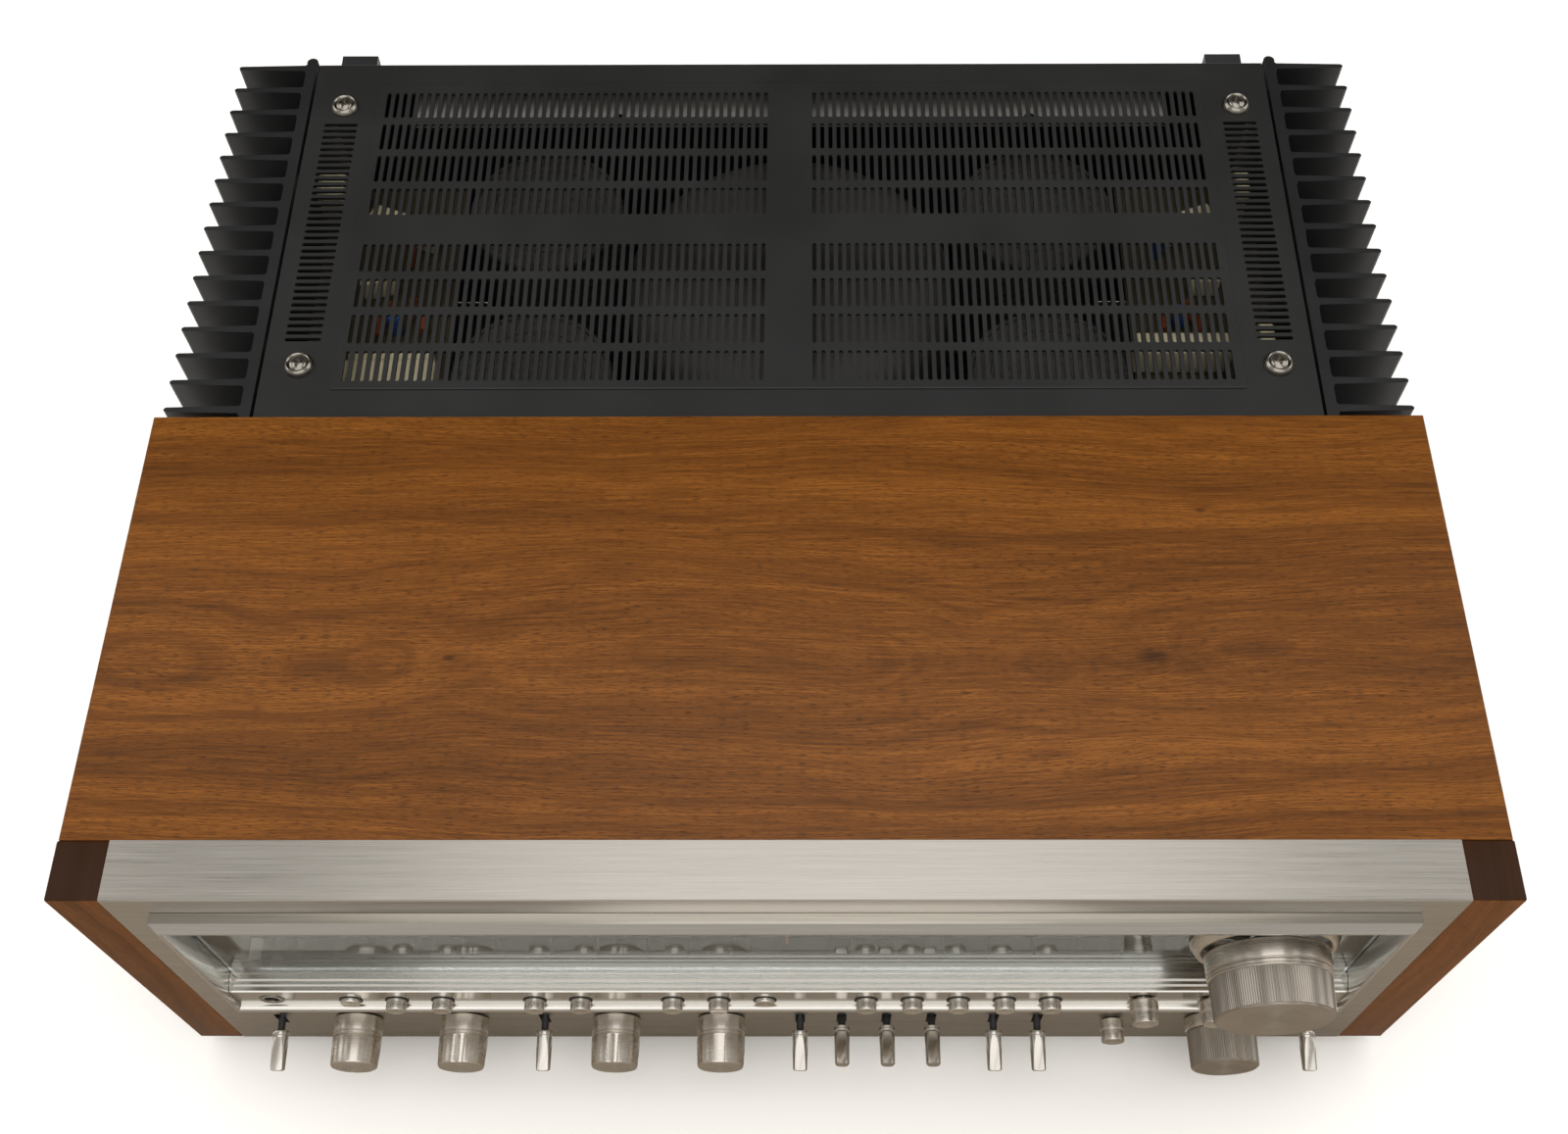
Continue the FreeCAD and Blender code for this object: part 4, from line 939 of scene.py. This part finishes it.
def makeDialPrint():
    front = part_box("dial_scale")[0].y
    size = dialPrint
    ink = size["ink"] * mm
    for row, level in (("upper", size["upperZ"]), ("lower", size["lowerZ"])):
        for label, x in size[row]:
            deselectAll()
            bpy.ops.object.text_add(location=(x * mm, front - ink, level * mm),
                                    rotation=(math.pi / 2, 0, 0))
            number = bpy.context.object
            number.data.body = label
            number.data.size = size["size"] * mm
            number.data.align_x = "CENTER"
            number.data.extrude = ink * 0.9
            bpy.ops.object.convert(target="MESH")
            number = bpy.context.object
            number.name = f"dialNumber{row}{label}"
            bpy.ops.object.transform_apply(location=True, rotation=True, scale=True)
            bpy.ops.object.mode_set(mode="EDIT")
            bpy.ops.mesh.select_all(action="SELECT")
            bpy.ops.mesh.remove_doubles(threshold=0.000001)
            bpy.ops.object.mode_set(mode="OBJECT")
            finishPiece(number, "receiver", "dial_print", plain["printedDialInk"])
    far, near = front - ink * 0.1, front - ink * 2
    bars = []     # left, right, bottom and top of each printed bar, in millimetres
    for index in range(size["tickCount"]):
        x = size["tickStep"] * (index - 50)
        tall = size["tickTall"][0 if index % 10 == 0 else 1 if index % 5 == 0 else 2]
        bars.append((x - size["tickHalf"], x + size["tickHalf"], size["scaleZ"], size["scaleZ"] + tall))
    reach, thin = size["lineHalf"]
    for row, level in size["rowZ"].items():
        for label, x in size[row]:
            bars.append((x - size["markHalf"], x + size["markHalf"], level, level + size["markTall"]))
        line = level + (0 if row == "upper" else size["markTall"])
        bars.append((-reach, reach, line - thin, line + thin))
    ticks = [addBlock("dialTick", (left * mm, near, bottom * mm), (right * mm, far, top * mm))
             for left, right, bottom, top in bars]
    deselectAll()
    for tick in ticks:
        tick.select_set(True)
    bpy.context.view_layer.objects.active = ticks[0]
    bpy.ops.object.join()
    ticks[0].name = "dialTicks"
    finishPiece(ticks[0], "receiver", "dial_print", plain["printedDialInk"])
    print("dial printed")


# feet

rubberFoot = {
    "radius": 19,
    "rings": [(4, 1), (12, 1), (12.5, 0), (18, 0), (19, 0.8), (19, 4.6), (18.2, 5.2), (16.2, 6),
              (15.8, 14.9), (3, 14.9)],
}


def makeFeet():
    low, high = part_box("feet")
    inset = rubberFoot["radius"] * mm
    count = 0
    for x in (low.x + inset, high.x - inset):
        for y in (low.y + inset, high.y - inset):
            count += 1
            foot = turnPiece(f"foot{count}", (x, y, 0), rubberFoot["rings"], 64, "Z")
            smoothPiece(foot)
            finishPiece(foot, "receiver", "black_plastic", plain["blackAbsPlastic"], "feet")
    print("feet made")


makeWood()
makeTrimFrame()
makeButtons()
makeLevers()
makeToneKnobs()
makeSmallKnobs()
makeBigKnob("volume_knob", "volume_knob_body", volumeKnob, "volumeKnob")
makeBigKnob("tuning_knob", "tuning_body", tuningKnob, "tuningKnob")
makeGlassRing()
makeJack()
makeFasteners()
makeInside()
makeDriverBoards()
makeRearBracket()
makeDialPrint()
makeFeet()


# studio: pale floor, soft light, camera

studio = {
    "floor": "#faf8f4", "floorSize": 12,
    # card: painted shade, a grey sheet seen only in reflections in place of the shaded floor before the
    # front
    "card": "#8f8578", "cardPlace": (0, -1.22, 0.001), "cardSize": (4, 2, 1),
    "sky": [(0.0, "#bab6b0"), (0.55, "#a8a49e"), (0.64, "#8b8782"), (0.74, "#74716c"), (1.0, "#484644")],
    "backdrop": "#f2f0ec",
    "lamps": {     # watts, place, turn in degrees, size across and deep, seen in reflections
        "key": (9.2, (0.06, -0.1, 2.2), (0, 0, 0), (1.4, 1.9), True),
        "fill": (58, (0, 0, 2.4), (0, 0, 0), (3.2, 3.2), False),
        "leftHigh": (3.2, (-1.36, 0.41, 1.64), (-10, -40, 0), (0.5, 1.4), True),
        "rightHigh": (3.2, (1.36, 0.41, 1.64), (-10, 40, 0), (0.5, 1.4), True),
        "leftLow": (4.6, (-1.9, 0.41, 0.94), (-8, -65, 0), (0.7, 1.4), True),
        "rightLow": (4.6, (1.9, 0.41, 0.94), (-8, 65, 0), (0.7, 1.4), True),
        "frontTop": (13, (0, -1.7, 1.9), (42, 0, 0), (3.0, 1.4), True),
    },
}


def addPlane(name, size, place, materialName, hexText, roughness):
    deselectAll()
    bpy.ops.mesh.primitive_plane_add(size=size, location=place)
    plane = bpy.context.object
    plane.name = name
    plane.data.materials.append(newMaterial(materialName, {"Base Color": linearColour(hexText),
                                                           "Roughness": roughness})[0])
    return plane


def makeStage():
    # uncoated paper on the floor: white and quite matt
    addPlane("floor", studio["floorSize"], (0, 0, 0), "paperFloor", studio["floor"], 0.8)
    # a grey card on the floor before the front, seen only in the metal's reflections, which it darkens:
    # painted shade, standing in for the shaded floor there
    card = addPlane("reflectedShadeCard", 1, studio["cardPlace"], "paintedShadeCardMaterial", studio["card"], 0.9)
    card.scale = studio["cardSize"]
    card.visible_camera = False
    card.visible_diffuse = False
    card.visible_shadow = False
    card.visible_transmission = False
    world = bpy.data.worlds.new("studioWorld")
    bpy.context.scene.world = world
    world.use_nodes = True
    tree = world.node_tree
    direction = addNode(tree, "ShaderNodeTexCoord").outputs["Generated"]
    split = addNode(tree, "ShaderNodeSeparateXYZ", links={0: direction})
    # the room is brighter before the object than behind it; the camera sees a plain pale wall
    sky = colourRamp(tree, calc(tree, "MULTIPLY_ADD", split.outputs[1], 0.5, 0.5), studio["sky"])
    seen = addNode(tree, "ShaderNodeLightPath").outputs["Is Camera Ray"]
    sky = addNode(tree, "ShaderNodeMix", {"data_type": "RGBA", 7: linearColour(studio["backdrop"])},
                  {0: seen, 6: sky}).outputs[2]
    tree.links.new(sky, tree.nodes["Background"].inputs["Color"])
    for name, (power, place, turn, size, reflected) in studio["lamps"].items():
        bpy.ops.object.light_add(type="AREA", location=place,
                                 rotation=[math.radians(angle) for angle in turn])
        lamp = bpy.context.object
        lamp.name = name + "Lamp"
        lamp.data.shape = "RECTANGLE"
        lamp.data.energy = power
        lamp.data.size, lamp.data.size_y = size
        lamp.visible_glossy = reflected


view = {"place": (0.01073, -0.4348, 0.84066), "turn": (29.683, 0.252, 0.064), "lens": 39.89,
        "shiftX": -0.01307, "shiftY": 0.00206}


def makeCamera():
    data = bpy.data.cameras.new("camera")
    data.sensor_width = 36
    data.lens = view["lens"]
    data.shift_x = view["shiftX"]
    data.shift_y = view["shiftY"]
    data.clip_start = 0.01
    camera = bpy.data.objects.new("camera", data)
    bpy.context.scene.collection.objects.link(camera)
    camera.location = view["place"]
    camera.rotation_euler = [math.radians(angle) for angle in view["turn"]]
    bpy.context.scene.camera = camera


makeStage()
makeCamera()
bpy.context.scene.view_settings.view_transform = "Standard"
print("studio made")
